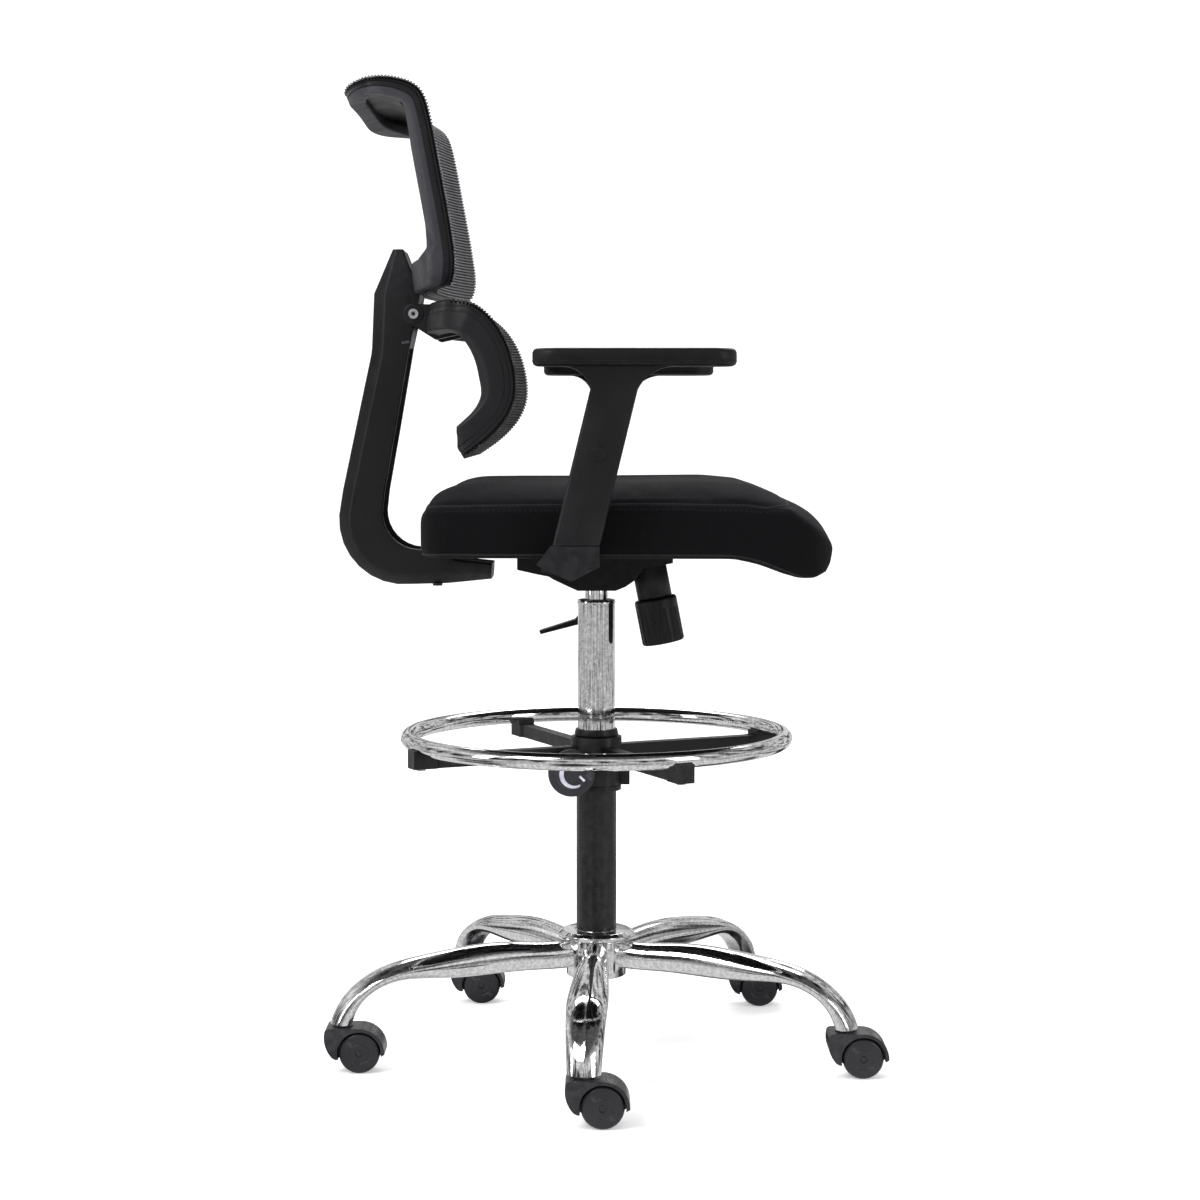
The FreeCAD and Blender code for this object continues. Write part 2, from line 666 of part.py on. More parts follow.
def seat_side_face():
    """The cushion's side outline: level top, rolled rear edge and a waterfall front."""
    rear, front = float(d.seat_rear), float(d.seat_front)
    top, bottom = float(d.seat_top), float(d.seat_bottom)
    upper = smooth_edge([(rear, 0, 682), (rear + 14, 0, 708), (rear + 52, 0, top - 2),
                         (rear + 160, 0, top - 2), (front - 140, 0, top), (front - 72, 0, 714),
                         (front - 25, 0, 690), (front, 0, 655)])
    lower = smooth_edge([(front, 0, 655), (front - 18, 0, bottom - 19),
                         (front - 66, 0, bottom - 12), (front - 112, 0, bottom)])
    corner = Vector(rear, 0, bottom)
    wire = Part.Wire([upper, lower, Part.makeLine(Vector(front - 112, 0, bottom), corner),
                      Part.makeLine(corner, Vector(rear, 0, 682))])
    return Part.Face(wire)


def rounded_plan(rear, front, half_width, rear_radius, front_radius):
    """An upright block over the seat's plan, wide of it in height."""
    low, high = 560, 760
    box = Part.makeBox(front - rear, 2 * half_width, high - low, Vector(rear, -half_width, low))
    middle = (rear + front) / 2
    upright = [edge for edge in box.Edges if edge.BoundBox.ZLength > high - low - 0.1]
    box = box.makeFillet(rear_radius, [e for e in upright if e.BoundBox.XMax < middle])
    upright = [edge for edge in box.Edges if edge.BoundBox.ZLength > high - low - 0.1]
    return box.makeFillet(front_radius, [e for e in upright if e.BoundBox.XMin > middle + 1])


def seat():
    half = float(d.seat_width) / 2
    rear, front = float(d.seat_rear), float(d.seat_front)
    bottom, margin = float(d.seat_bottom), float(d.pan_margin)
    block = seat_side_face().extrude(Vector(0, 2 * half, 0))
    block.translate(Vector(0, -half, 0))
    block = block.common(rounded_plan(rear, front, half, 34, 60))
    pan_outline = [(rear + margin, bottom), (front - 112, bottom), (front - 66, 625),
                   (front - 30, 617), (front - 27, 628), (front - 62, 637),
                   (front - 108, bottom + 12), (rear + margin, bottom + 12)]
    pan = slab(pan_outline, -half + margin, half - margin)
    plan = rounded_plan(rear + margin, front - 20, half - margin, 26, 48)
    pan = pan.common(plan)
    made("seat_pan", pan)
    recess = slab([(rear + margin, bottom - 10), (front - 112, bottom - 10),
                   (front - 66, 612), (front - 30, 604)] + pan_outline[4:],
                  -half + margin, half - margin)
    recess = recess.common(plan)
    cushion = block.cut(recess)
    made("seat_cushion", max(cushion.Solids, key=lambda solid: solid.Volume))


# ------------------------------------------------------------------ spine


def spine_solid():
    """A J-shaped bar: raked upright, round bend and a foot that runs under the seat."""
    rear = Part.Wire([
        Part.makePolygon([Vector(-129, 0, 600), Vector(-180, 0, 594.5), Vector(-228, 0, 593)]),
        Part.Arc(Vector(-228, 0, 593), Vector(-296, 0, 618), Vector(-317, 0, 678)).toShape(),
        Part.makePolygon([Vector(-317, 0, 678), Vector(-312, 0, 709), Vector(-275, 0, 880),
                          Vector(-272, 0, 949), Vector(-248, 0, 1002), Vector(-239, 0, 1002),
                          Vector(-224, 0, 994), Vector(-214, 0, 948), Vector(-228, 0, 884),
                          Vector(-259, 0, 709), Vector(-262, 0, 683)]),
        Part.Arc(Vector(-262, 0, 683), Vector(-250, 0, 651), Vector(-219, 0, 636.6)).toShape(),
        Part.makePolygon([Vector(-219, 0, 636.6), Vector(-186, 0, 636.6), Vector(-176, 0, 624),
                          Vector(-128, 0, 619), Vector(-129, 0, 600)]),
    ])
    half = float(d.spine_width) / 2
    bar = Part.Face(rear).extrude(Vector(0, 2 * half, 0))
    bar.translate(Vector(0, -half, 0))
    return bar


def spine():
    """The bar is a channel, open towards the sitter, with cross ribs in the bend."""
    bar = spine_solid()
    channel = slab([(-258, 850), (-292, 709), (-297, 680), (-283, 640), (-250, 614),
                    (-205, 611), (-205, 660), (-240, 655), (-250, 690), (-210, 880)], -30, 30)
    ribs = [slab([(-330, 640 + 14 * n), (-200, 640 + 34 * n), (-200, 643 + 34 * n),
                  (-330, 643 + 14 * n)], -30, 30) for n in range(1, 6)]
    for rib in ribs:
        channel = channel.cut(rib)
    bar = bar.cut(channel)
    pivot = Vector(float(d.lumbar_pivot_x), 0, float(d.lumbar_pivot_z))
    bore = cylinder(float(d.lumbar_bolt_radius), pivot - Vector(0, 60, 0),
                    pivot + Vector(0, 60, 0))
    return bar.cut(bore)


# ------------------------------------------------------------------ back

BACK_PROFILE = [(-156, 950), (-165, 1015), (-177, 1082), (-189, 1143), (-201, 1171),
                (-224, 1186), (-259, 1188), (-296, 1176)]
LUMBAR_PROFILE = [(-154, 751), (-124, 773), (-104, 795), (-93, 820), (-93, 850), (-103, 885),
                  (-122, 914), (-143, 929), (-166, 934)]


class Shell:
    """A back surface: a side profile, hollowed towards the middle of its width.

    The hollow is given at the bottom, half way up and at the top.  The arch raises the middle
    of the top edge.
    """

    def __init__(self, profile, half_width, hollows, arch=0):
        curve = Part.BSplineCurve()
        curve.interpolate([Vector(x, 0, z) for x, z in profile])
        self.curve = curve
        self.length = curve.length()
        self.half_width = half_width
        self.hollows = hollows
        self.arch = arch

    def point(self, share, y, depth):
        """The point a share of the way up, y across, and so deep behind the surface."""
        at = self.curve.parameterAtDistance(self.length * share, self.curve.FirstParameter)
        place = self.curve.value(at)
        way = self.curve.tangent(at)[0]
        behind = Vector(-way.z, 0, way.x)
        half = int(share > 0.5)
        start, end = self.hollows[half:half + 2]
        hollow = start + (end - start) * (2 * share - half)
        crown = 1 - (y / self.half_width) ** 2
        rise = self.arch * crown * min(max((share - 0.5) / 0.35, 0), 1)
        return place + behind * depth + Vector(-hollow * crown, y, rise)


def rounded_box(half_width, high, corner, top_corner):
    """Points (y, height) once round an upright rectangle with rounded corners.

    The upper corners are parts of an ellipse: so far across and so far down.
    """
    steps, stretches = 4, 4
    middle = high / 2
    across, down = top_corner
    points = []
    for y, z, reach, rise, turn in (
            (half_width, middle, 0, 0, None),
            (half_width - across, high - down, across, down, 0),
            (0, high, 0, 0, None),
            (across - half_width, high - down, across, down, 90),
            (-half_width, middle, 0, 0, None),
            (corner - half_width, corner, corner, corner, 180),
            (0, 0, 0, 0, None),
            (half_width - corner, corner, corner, corner, 270)):
        if turn is None:
            points.append((y, z))
            continue
        for step in range(steps + 1):
            angle = math.radians(turn + 90 * step / steps)
            points.append((y + reach * math.cos(angle), z + rise * math.sin(angle)))
    return spread(points, stretches)


def spread(points, parts):
    """The same closed route with every long stretch cut into equal parts."""
    route = []
    for i, (y, z) in enumerate(points):
        after = points[(i + 1) % len(points)]
        gap = math.hypot(after[0] - y, after[1] - z)
        cuts = parts if gap > 60 else 1
        for cut in range(cuts):
            route.append((y + (after[0] - y) * cut / cuts, z + (after[1] - z) * cut / cuts))
    return route


def frame_loop(shell, bands, corner, top_corner, near, far):
    """A closed frame round the shell, between two depths behind its surface.

    The bands are its widths at the sides, along the bottom and along the top.
    """
    band, low_band, high_band = bands
    half, height = shell.half_width, shell.length
    outer = rounded_box(half, height, corner, top_corner)
    inner = []
    for y, up in outer:
        squeeze_y = (half - band) / half
        squeeze_z = (height - low_band - high_band) / height
        inner.append((y * squeeze_y, low_band + up * squeeze_z))
    sections = []
    for (y, up), (inner_y, inner_up) in zip(outer, inner):
        corners = [shell.point(up / height, y, near(up / height)),
                   shell.point(up / height, y, far(up / height, y)),
                   shell.point(inner_up / height, inner_y, far(inner_up / height, inner_y)),
                   shell.point(inner_up / height, inner_y, near(inner_up / height))]
        sections.append(Part.makePolygon(corners + corners[:1]))
    return loop_solid(sections)


def loop_solid(sections):
    """A closed tube of flat-sided spans through the sections."""
    faces = []
    for first, second in zip(sections, sections[1:] + sections[:1]):
        for edge, following in zip(first.Edges, second.Edges):
            faces.append(Part.makeRuledSurface(edge, following))
    shell = Part.makeShell(faces)
    shell.sewShape()
    return outward(Part.makeSolid(shell))


def outward(solid):
    if solid.Volume < 0:
        solid.reverse()
    return solid


def panel(shell, half_width, low, high, near, far, columns=12, rows=12):
    """A thin sheet over the shell's opening, between two depths."""
    sections = []
    for column in range(columns + 1):
        y = half_width * (2 * column / columns - 1)
        shares = [low + (high - low) * row / rows for row in range(rows + 1)]
        front = [shell.point(share, y, near) for share in shares]
        back = [shell.point(share, y, far) for share in reversed(shares)]
        sections.append(Part.makePolygon(front + back + front[:1]))
    return Part.makeLoft(sections, True, True)


def upper_back():
    hollow = float(d.back_hollow)
    shell = Shell(BACK_PROFILE, float(d.back_half_width), (hollow, hollow, 0),
                  float(d.lip_arch))
    trim, depth = float(d.trim_depth), float(d.frame_depth)
    band, lip = float(d.frame_width), float(d.lip_thickness)
    corner, top_corner = float(d.back_corner), (float(d.lip_corner), float(d.lip_corner_depth))
    sheet = float(d.mesh_thickness)

    def frame_rear(share, y):
        """Deep across the bottom, slimmer up the sides and thin at the lip."""
        deep = trim + depth - 5 * (1 - (y / shell.half_width) ** 2)
        slim = trim + depth / 2
        if share < 0.3:
            return deep + (slim - deep) * min(max((share - 0.12) / 0.08, 0), 1)
        return slim if share < 0.75 else slim + (lip - slim) * (share - 0.75) / 0.25

    bands = (band, float(d.back_low_band), float(d.back_lip_band))
    back_frame = frame_loop(shell, bands, corner, top_corner, lambda share: trim, frame_rear)
    back_trim = frame_loop(shell, (band - 4, 22, 24), corner, top_corner,
                           lambda share: 0, lambda share, y: trim)
    made("back_frame", back_frame)
    made("back_trim", back_trim)
    half_opening = shell.half_width - band
    made("back_mesh", panel(shell, half_opening + 4.4, 0.085, 0.90, 3, 3 + sheet))
    return back_frame


def lumbar():
    """The lumbar loop with its two knuckles, and the sheet stretched over it."""
    hollow = float(d.back_hollow)
    shell = Shell(LUMBAR_PROFILE, float(d.lumbar_half_width), (0, hollow, hollow))
    band, depth = float(d.lumbar_band), float(d.lumbar_depth)
    corner = float(d.lumbar_corner)
    loop = frame_loop(shell, (band, 30, 34), corner, (corner, corner), lambda share: 0,
                      lambda share, y: depth)
    behind_tip = Part.makeBox(200, 2 * shell.half_width, 60,
                              Vector(float(d.lumbar_cut) - 200, -shell.half_width, 735))
    loop = loop.cut(behind_tip)
    pivot = Vector(float(d.lumbar_pivot_x), 0, float(d.lumbar_pivot_z))
    half_bar = float(d.spine_width) / 2
    for side in (1, -1):
        inner, outer = side * (half_bar + 0.4), side * (half_bar + 20)
        knuckle = cylinder(float(d.knuckle_radius), pivot + Vector(0, inner, 0),
                           pivot + Vector(0, outer, 0))
        tongue = slab([(-221, 938), (-180, 934), (-168, 898), (-195, 892), (-228, 908)],
                      min(inner, outer), max(inner, outer))
        loop = loop.fuse(knuckle).fuse(tongue)
    bore = cylinder(float(d.lumbar_bolt_radius + d.running_clearance),
                    pivot - Vector(0, 100, 0), pivot + Vector(0, 100, 0))
    made("lumbar_frame", loop.cut(bore).removeSplitter())
    half_opening, sheet = shell.half_width - band, float(d.mesh_thickness)
    made("lumbar_mesh", panel(shell, half_opening - 0.5, 0.14, 0.86, 3, 3 + sheet))


def lumbar_bolt():
    pivot = Vector(float(d.lumbar_pivot_x), 0, float(d.lumbar_pivot_z))
    end = float(d.spine_width) / 2 + 20.4
    shank = cylinder(float(d.lumbar_bolt_radius), pivot - Vector(0, end, 0),
                     pivot + Vector(0, end, 0))
    for side in (1, -1):
        head = cylinder(6, pivot + Vector(0, side * end, 0), pivot + Vector(0, side * (end + 4), 0))
        socket = cylinder(3, pivot + Vector(0, side * (end + 1), 0),
                          pivot + Vector(0, side * (end + 5), 0))
        shank = shank.fuse(head).cut(socket)
    made("lumbar_bolt", shank.removeSplitter())


# ------------------------------------------------------------------ arms


def arm_direction():
    lean = math.radians(d.arm_lean.value)
    return Vector(math.sin(lean), 0, math.cos(lean))


def on_arm(rise, forward=0, y=0):
    """A point of the right arm: rise along the post from the seam, forward across it."""
    up = arm_direction()
    across = Vector(up.z, 0, -up.x)
    seam = Vector(float(d.arm_centre_x), 0, float(d.arm_seam))
    return seam + up * rise + across * forward + Vector(0, -float(d.arm_offset) + y, 0)


def post_box(low, high, width, thickness, y=0):
    """A straight bar along the arm's lean, centred on the post."""
    corners = [on_arm(low, -width / 2, y), on_arm(low, width / 2, y),
               on_arm(high, width / 2, y), on_arm(high, -width / 2, y)]
    face = closed_face([p - Vector(0, thickness / 2, 0) for p in corners])
    return face.extrude(Vector(0, thickness, 0))


def arm_bracket():
    """Fixed cap and post outside the seat, on a steel tongue that runs under the pan."""
    half = float(d.arm_thickness) / 2
    seam, offset = float(d.arm_seam), float(d.arm_offset)
    cap = slab([(-51, seam), (4, seam), (4, 630), (-28, 614), (-67, 632)],
               -offset - half, -offset + half)
    tongue = slab([(-62, 623), (-62, 636.6), (0, 636.6), (0, 628), (-28, 616)],
                  -offset + half, -120)
    gap = 0.3
    wall = float(d.arm_wall)
    post_width = float(d.arm_width) - 2 * wall - 2 * gap
    post_thickness = float(d.arm_thickness) - 2 * wall - 2 * gap
    post = post_box(-4, 120, post_width, post_thickness)
    slot = post_box(90, 130, 16, 12, -post_thickness / 2 - 2)
    return cap.fuse(tongue).fuse(post.cut(slot)).removeSplitter()


def arm_sleeve():
    """The sliding upright, flared into a head under the arm pad."""
    half = float(d.arm_thickness) / 2
    offset, top = float(d.arm_offset), float(d.pad_bottom)
    seam_gap = 0.5
    low, high = on_arm(0), on_arm(180)
    half_width = float(d.arm_width) / 2 / math.cos(math.radians(d.arm_lean.value))
    outline = Part.Wire([
        Part.makePolygon([Vector(low.x - half_width, 0, low.z + seam_gap),
                          Vector(low.x + half_width, 0, low.z + seam_gap),
                          Vector(high.x + half_width, 0, high.z)]),
        Part.Arc(Vector(high.x + half_width, 0, high.z), Vector(59, 0, 843),
                 Vector(90, 0, top - 0.2)).toShape(),
        Part.makePolygon([Vector(90, 0, top - 0.2), Vector(-36, 0, top - 0.2)]),
        Part.Arc(Vector(-36, 0, top - 0.2), Vector(-14, 0, 843),
                 Vector(high.x - half_width, 0, high.z)).toShape(),
        Part.makePolygon([Vector(high.x - half_width, 0, high.z),
                          Vector(low.x - half_width, 0, low.z + seam_gap)]),
    ])
    sleeve = Part.Face(outline).extrude(Vector(0, 2 * half, 0))
    sleeve.translate(Vector(0, -offset - half, 0))
    wall = float(d.arm_wall)
    cavity = post_box(-20, 126, float(d.arm_width) - 2 * wall, 2 * (half - wall))
    for side in (1, -1):
        chamfer_face = closed_face([
            on_arm(-30, side * 27, -half - 1), on_arm(-30, side * 5, -half - 1),
            on_arm(-30, side * 27, -half + 5)])
        sleeve = sleeve.cut(chamfer_face.extrude(arm_direction() * 206))
    hole_radius = float(d.arm_button_radius) + 0.3
    button = button_centre()
    hole = cylinder(hole_radius, button + Vector(0, -40, 0), button + Vector(0, 4, 0))
    return sleeve.cut(cavity).cut(hole).removeSplitter()


def button_centre():
    rise = (float(d.arm_button_z) - float(d.arm_seam)) / arm_direction().z
    return on_arm(rise)


def arm_button():
    outer = -float(d.arm_thickness) / 2
    centre = button_centre()
    cap = cylinder(float(d.arm_button_radius), centre + Vector(0, outer - 1.5, 0),
                   centre + Vector(0, outer + 5, 0))
    rim = [edge for edge in cap.Edges if edge.BoundBox.YLength < 0.01
           and edge.BoundBox.YMin < centre.y + outer]
    return cap.makeFillet(1, rim)


def arm_pad():
    """A soft slab with drooped, rounded ends."""
    half_length, half_width = float(d.pad_length) / 2, float(d.pad_width) / 2
    bottom, thickness = float(d.pad_bottom), float(d.pad_thickness)
    centre = Vector(float(d.pad_centre_x), -float(d.arm_offset), bottom)
    box = Part.makeBox(2 * half_length, 2 * half_width, thickness,
                       centre - Vector(half_length, half_width, 0))
    corners = [edge for edge in box.Edges if edge.BoundBox.ZLength > thickness - 0.1]
    box = box.makeFillet(24, corners)
    rims = [edge for edge in box.Edges if edge.BoundBox.ZLength < 0.01]
    upper = [edge for edge in rims if edge.BoundBox.ZMin > bottom + thickness / 2]
    return box.makeFillet(6, upper)


def arms():
    for name, shape in (("arm_bracket", arm_bracket()), ("arm_sleeve", arm_sleeve()),
                        ("arm_pad", arm_pad()), ("arm_button", arm_button())):
        made(name + "_right", shape)
        made(name + "_left", mirrored(shape))


def seat_screws():
    """Screws that hold the plate, the arm brackets and the spine under the seat."""
    plate_bottom = float(d.seat_plate_top) - float(d.sheet_metal)
    places = [(x, y, plate_bottom - 3) for x in (-80, 84) for y in (-62, 62)]
    places += [(-31, side * y, 613.5) for y in (150, 200) for side in (1, -1)]
    places += [(-196, side * 22, 591.2) for side in (1, -1)]
    return Part.makeCompound([screw(Vector(*place), Vector(0, 0, 1), 3, 642 - place[2], 6, 3)
                              for place in places])


def build():
    base_hub()
    base_legs()
    caster_stems()
    casters()
    column()
    thrust_bearing()
    gas_lift()
    foot_ring()
    ring_spider()
    ring_knob()
    mechanism_housing()
    tilt_pin()
    tension_unit()
    height_lever()
    seat_plate()
    seat()
    frame = upper_back()
    bar = spine().cut(frame)
    made("spine", bar.removeSplitter())
    lumbar()
    lumbar_bolt()
    arms()
    made("seat_screws", seat_screws())


def check_and_export():
    doc.recompute()
    faults = []
    for item in doc.Objects:
        if "Invalid" in item.State or "Error" in item.State:
            faults.append(item.Label + " failed")
    for piece in pieces:
        shape = piece.Shape
        if shape.isNull() or not shape.isValid():
            faults.append(piece.Label + " has a bad shape")
        elif shape.Volume <= 0:
            faults.append(piece.Label + " has no volume")
    for fault in faults:
        print(fault)
    if faults:
        raise SystemExit("nothing written")
    for piece in pieces:
        piece.Shape.exportStep("parts/%s.step" % piece.Label)
        print("%-24s %10.0f mm3  %d solids" % (piece.Label, piece.Shape.Volume,
                                            len(piece.Shape.Solids)))


build()
check_and_export()
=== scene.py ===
"""Looks of the drafting chair: fabric, mesh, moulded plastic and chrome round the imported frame.

Shapes are worked out in millimetres, in the frame's own axes (+X forward, +Y the sitter's left,
+Z up), and turned into metres where a piece is made.
"""
import json
import math

import bmesh
import bpy
import numpy as np
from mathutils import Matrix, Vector
from mathutils.bvhtree import BVHTree


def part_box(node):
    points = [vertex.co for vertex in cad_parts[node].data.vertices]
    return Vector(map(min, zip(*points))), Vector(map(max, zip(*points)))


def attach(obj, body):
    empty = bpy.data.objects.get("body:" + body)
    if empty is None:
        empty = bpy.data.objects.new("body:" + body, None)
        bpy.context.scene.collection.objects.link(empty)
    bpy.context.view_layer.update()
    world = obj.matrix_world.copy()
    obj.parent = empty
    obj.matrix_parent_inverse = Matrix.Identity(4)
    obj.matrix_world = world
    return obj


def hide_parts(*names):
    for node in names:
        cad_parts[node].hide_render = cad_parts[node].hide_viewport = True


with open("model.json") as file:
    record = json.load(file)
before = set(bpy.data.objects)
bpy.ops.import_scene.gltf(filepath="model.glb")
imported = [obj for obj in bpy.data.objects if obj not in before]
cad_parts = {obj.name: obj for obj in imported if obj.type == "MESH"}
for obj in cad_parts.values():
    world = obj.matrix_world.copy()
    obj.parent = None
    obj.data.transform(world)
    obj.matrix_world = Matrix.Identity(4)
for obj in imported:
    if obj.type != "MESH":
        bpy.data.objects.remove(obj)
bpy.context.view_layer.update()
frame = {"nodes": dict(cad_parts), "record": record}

MM = 0.001


def box_mm(node):
    """Lowest and highest corner of a frame node, in millimetres."""
    low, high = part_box(node)
    return np.array(low) / MM, np.array(high) / MM


# ---------------- camera, light and floor


def make_camera():
    """Level with the arms, square to the chair's right side, tipped slightly down."""
    focal_length, aside, distance, height, tip = 72.5, 0.0045, 3.0, 0.795, 4.26
    data = bpy.data.cameras.new("camera")
    data.sensor_width = 36
    data.lens = focal_length
    camera = bpy.data.objects.new("camera", data)
    bpy.context.collection.objects.link(camera)
    camera.location = (aside, -distance, height)
    camera.rotation_euler = (math.radians(90 - tip), 0, 0)
    bpy.context.scene.camera = camera


def area_light(name, place, aim, size, power):
    """A soft panel in watts, turned towards its aim."""
    data = bpy.data.lights.new(name, "AREA")
    data.shape = "RECTANGLE"
    data.size, data.size_y = size
    data.energy = power
    light = bpy.data.objects.new(name, data)
    light.location = place
    light.rotation_euler = (Vector(aim) - Vector(place)).to_track_quat("-Z", "Y").to_euler()
    bpy.context.collection.objects.link(light)


def make_lights():
    area_light("key", (-1.9, -1.9, 3.0), (0, 0, 0.7), (1.4, 1.4), 62)
    area_light("fill", (2.8, -2.2, 1.6), (0, 0, 0.6), (1.0, 2.2), 26)
    area_light("edge", (-2.6, -1.1, 1.3), (-0.2, 0, 0.9), (0.5, 1.8), 12)
    area_light("rim", (0.2, 2.4, 2.9), (0, 0, 0.8), (2.6, 1.0), 48)
    make_world()
    bpy.context.scene.view_settings.view_transform = "Standard"


def make_world():
    """A pale room; shiny parts see a studio instead, with dark gaps between bright panels."""
    world = bpy.data.worlds.new("studio")
    world.use_nodes = True
    sky = Nodes(world.node_tree, "Generated")
    split, height = sky.node("SeparateXYZ"), sky.node("MapRange")
    height.inputs["From Min"].default_value = -1
    sky.link(sky.place, split.inputs[0])
    sky.link(split.outputs["Z"], height.inputs["Value"])
    bands = ((0.0, 0.3), (0.42, 0.42), (0.5, 0.85), (0.56, 0.3), (0.66, 0.55), (0.76, 1.0),
             (0.9, 0.1))
    panel_size, panel_height = 1 / 5.5, 1 / 0.12
    panels = sky.noise(panel_size, 3, (1, 1, 1 / panel_height))
    gaps = sky.stops(panels, ((0.38, 0.05), (0.44, 0.5), (0.52, 1.0)))
    studio = sky.combine("MULTIPLY", sky.stops(height.outputs[0], bands), gaps)
    seen = sky.mix(sky.node("LightPath").outputs["Is Glossy Ray"], (0.66, 0.66, 0.67), studio)
    sky.link(seen, sky.tree.nodes["Background"].inputs["Color"])
    bpy.context.scene.world = world


def backdrop_paper():
    """White paper that glows a little; shiny parts see soft grey patches in it."""
    made = Shader("backdrop_paper", (0.95, 0.95, 0.95), 0.95, Specular_IOR_Level=0.1,
                  Emission_Color=(1, 1, 1, 1), Emission_Strength=0.3)
    patch_size = 1 / 1.6
    patches = made.ramp(made.noise(patch_size, 2), 0.05, 1.0, 0.4, 0.52)
    reflected, mixer = made.node("Emission"), made.node("MixShader")
    reflected.inputs["Strength"].default_value = 0.75
    made.link(patches, reflected.inputs["Color"])
    made.link(made.node("LightPath").outputs["Is Glossy Ray"], mixer.inputs[0])
    made.link(made.base.outputs[0], mixer.inputs[1])
    made.link(reflected.outputs[0], mixer.inputs[2])
    made.link(mixer.outputs[0], made.tree.nodes["Material Output"].inputs["Surface"])
    return made.material


def make_floor():
    """A pale sheet of paper that curves up behind the chair."""
    half_span, front, back, rise, bend = 7.0, -6.0, 5.0, 7.0, 2.0
    outline = [(front, 0.0), (back - bend, 0.0)]
    for angle in np.linspace(0, math.pi / 2, 13)[1:]:
        outline.append((back - bend + bend * math.sin(angle), bend - bend * math.cos(angle)))
    outline.append((back, rise))
    mesh = bpy.data.meshes.new("backdrop")
    points = [(x, y, z) for y, z in outline for x in (-half_span, half_span)]
    faces = [(2 * i, 2 * i + 1, 2 * i + 3, 2 * i + 2) for i in range(len(outline) - 1)]
    mesh.from_pydata(points, [], faces)
    mesh.polygons.foreach_set("use_smooth", [True] * len(faces))
    mesh.materials.append(backdrop_paper())
    floor = bpy.data.objects.new("backdrop", mesh)
    bpy.context.collection.objects.link(floor)


# ---------------- materials


class Nodes:
    """A node tree with short ways to add and join its nodes."""

    def __init__(self, tree, coordinates):
        self.tree = tree
        self.place = self.node("TexCoord").outputs[coordinates]

    def node(self, kind, **values):
        made = self.tree.nodes.new("ShaderNode" + kind)
        for key, value in values.items():
            setattr(made, key, value)
        return made

    def link(self, out, into):
        self.tree.links.new(out, into)

    def scaled_place(self, scale):
        mapping = self.node("Mapping")
        mapping.inputs["Scale"].default_value = scale
        self.link(self.place, mapping.inputs["Vector"])
        return mapping.outputs["Vector"]

    def noise(self, size, detail=3, stretch=(1, 1, 1)):
        """Noise with features of about the given size."""
        texture = self.node("TexNoise")
        texture.inputs["Detail"].default_value = detail
        texture.inputs["Scale"].default_value = 1.0
        self.link(self.scaled_place([s / size for s in stretch]), texture.inputs["Vector"])
        return texture.outputs["Fac"]

    def threads(self, direction, pitch):
        """Bands across one axis, pitch metres apart."""
        wave = self.node("TexWave", wave_type="BANDS", bands_direction=direction)
        bands_per_unit = 0.31416
        wave.inputs["Scale"].default_value = bands_per_unit
        wave.inputs["Distortion"].default_value = 0.6
        wave.inputs["Detail Scale"].default_value = 2.0
        self.link(self.scaled_place([1 / pitch] * 3), wave.inputs["Vector"])
        return wave.outputs["Fac"]

    def combine(self, operation, first, second):
        maths = self.node("Math", operation=operation)
        self.link(first, maths.inputs[0])
        if isinstance(second, (int, float)):
            maths.inputs[1].default_value = second
        else:
            self.link(second, maths.inputs[1])
        return maths.outputs[0]

    def stops(self, value, stops):
        """Map a 0 to 1 value through (position, grey or colour) stops."""
        ramp = self.node("ValToRGB")
        for _ in stops[2:]:
            ramp.color_ramp.elements.new(0.5)
        for element, (position, colour) in zip(ramp.color_ramp.elements, stops):
            element.position = position
            shade = colour if hasattr(colour, "__len__") else (colour,) * 3
            element.color = (*shade, 1)
        self.link(value, ramp.inputs["Fac"])
        return ramp.outputs["Color"]

    def ramp(self, value, low, high, start=0.3, end=0.7):
        """Map a 0 to 1 value between two greys or colours."""
        return self.stops(value, ((start, low), (end, high)))

    def mix(self, share, first, second):
        mixer = self.node("Mix", data_type="RGBA")
        self.link(share, mixer.inputs["Factor"])
        for value, socket in ((first, mixer.inputs[6]), (second, mixer.inputs[7])):
            if hasattr(value, "__len__"):
                socket.default_value = (*value, 1)
            else:
                self.link(value, socket)
        return mixer.outputs[2]


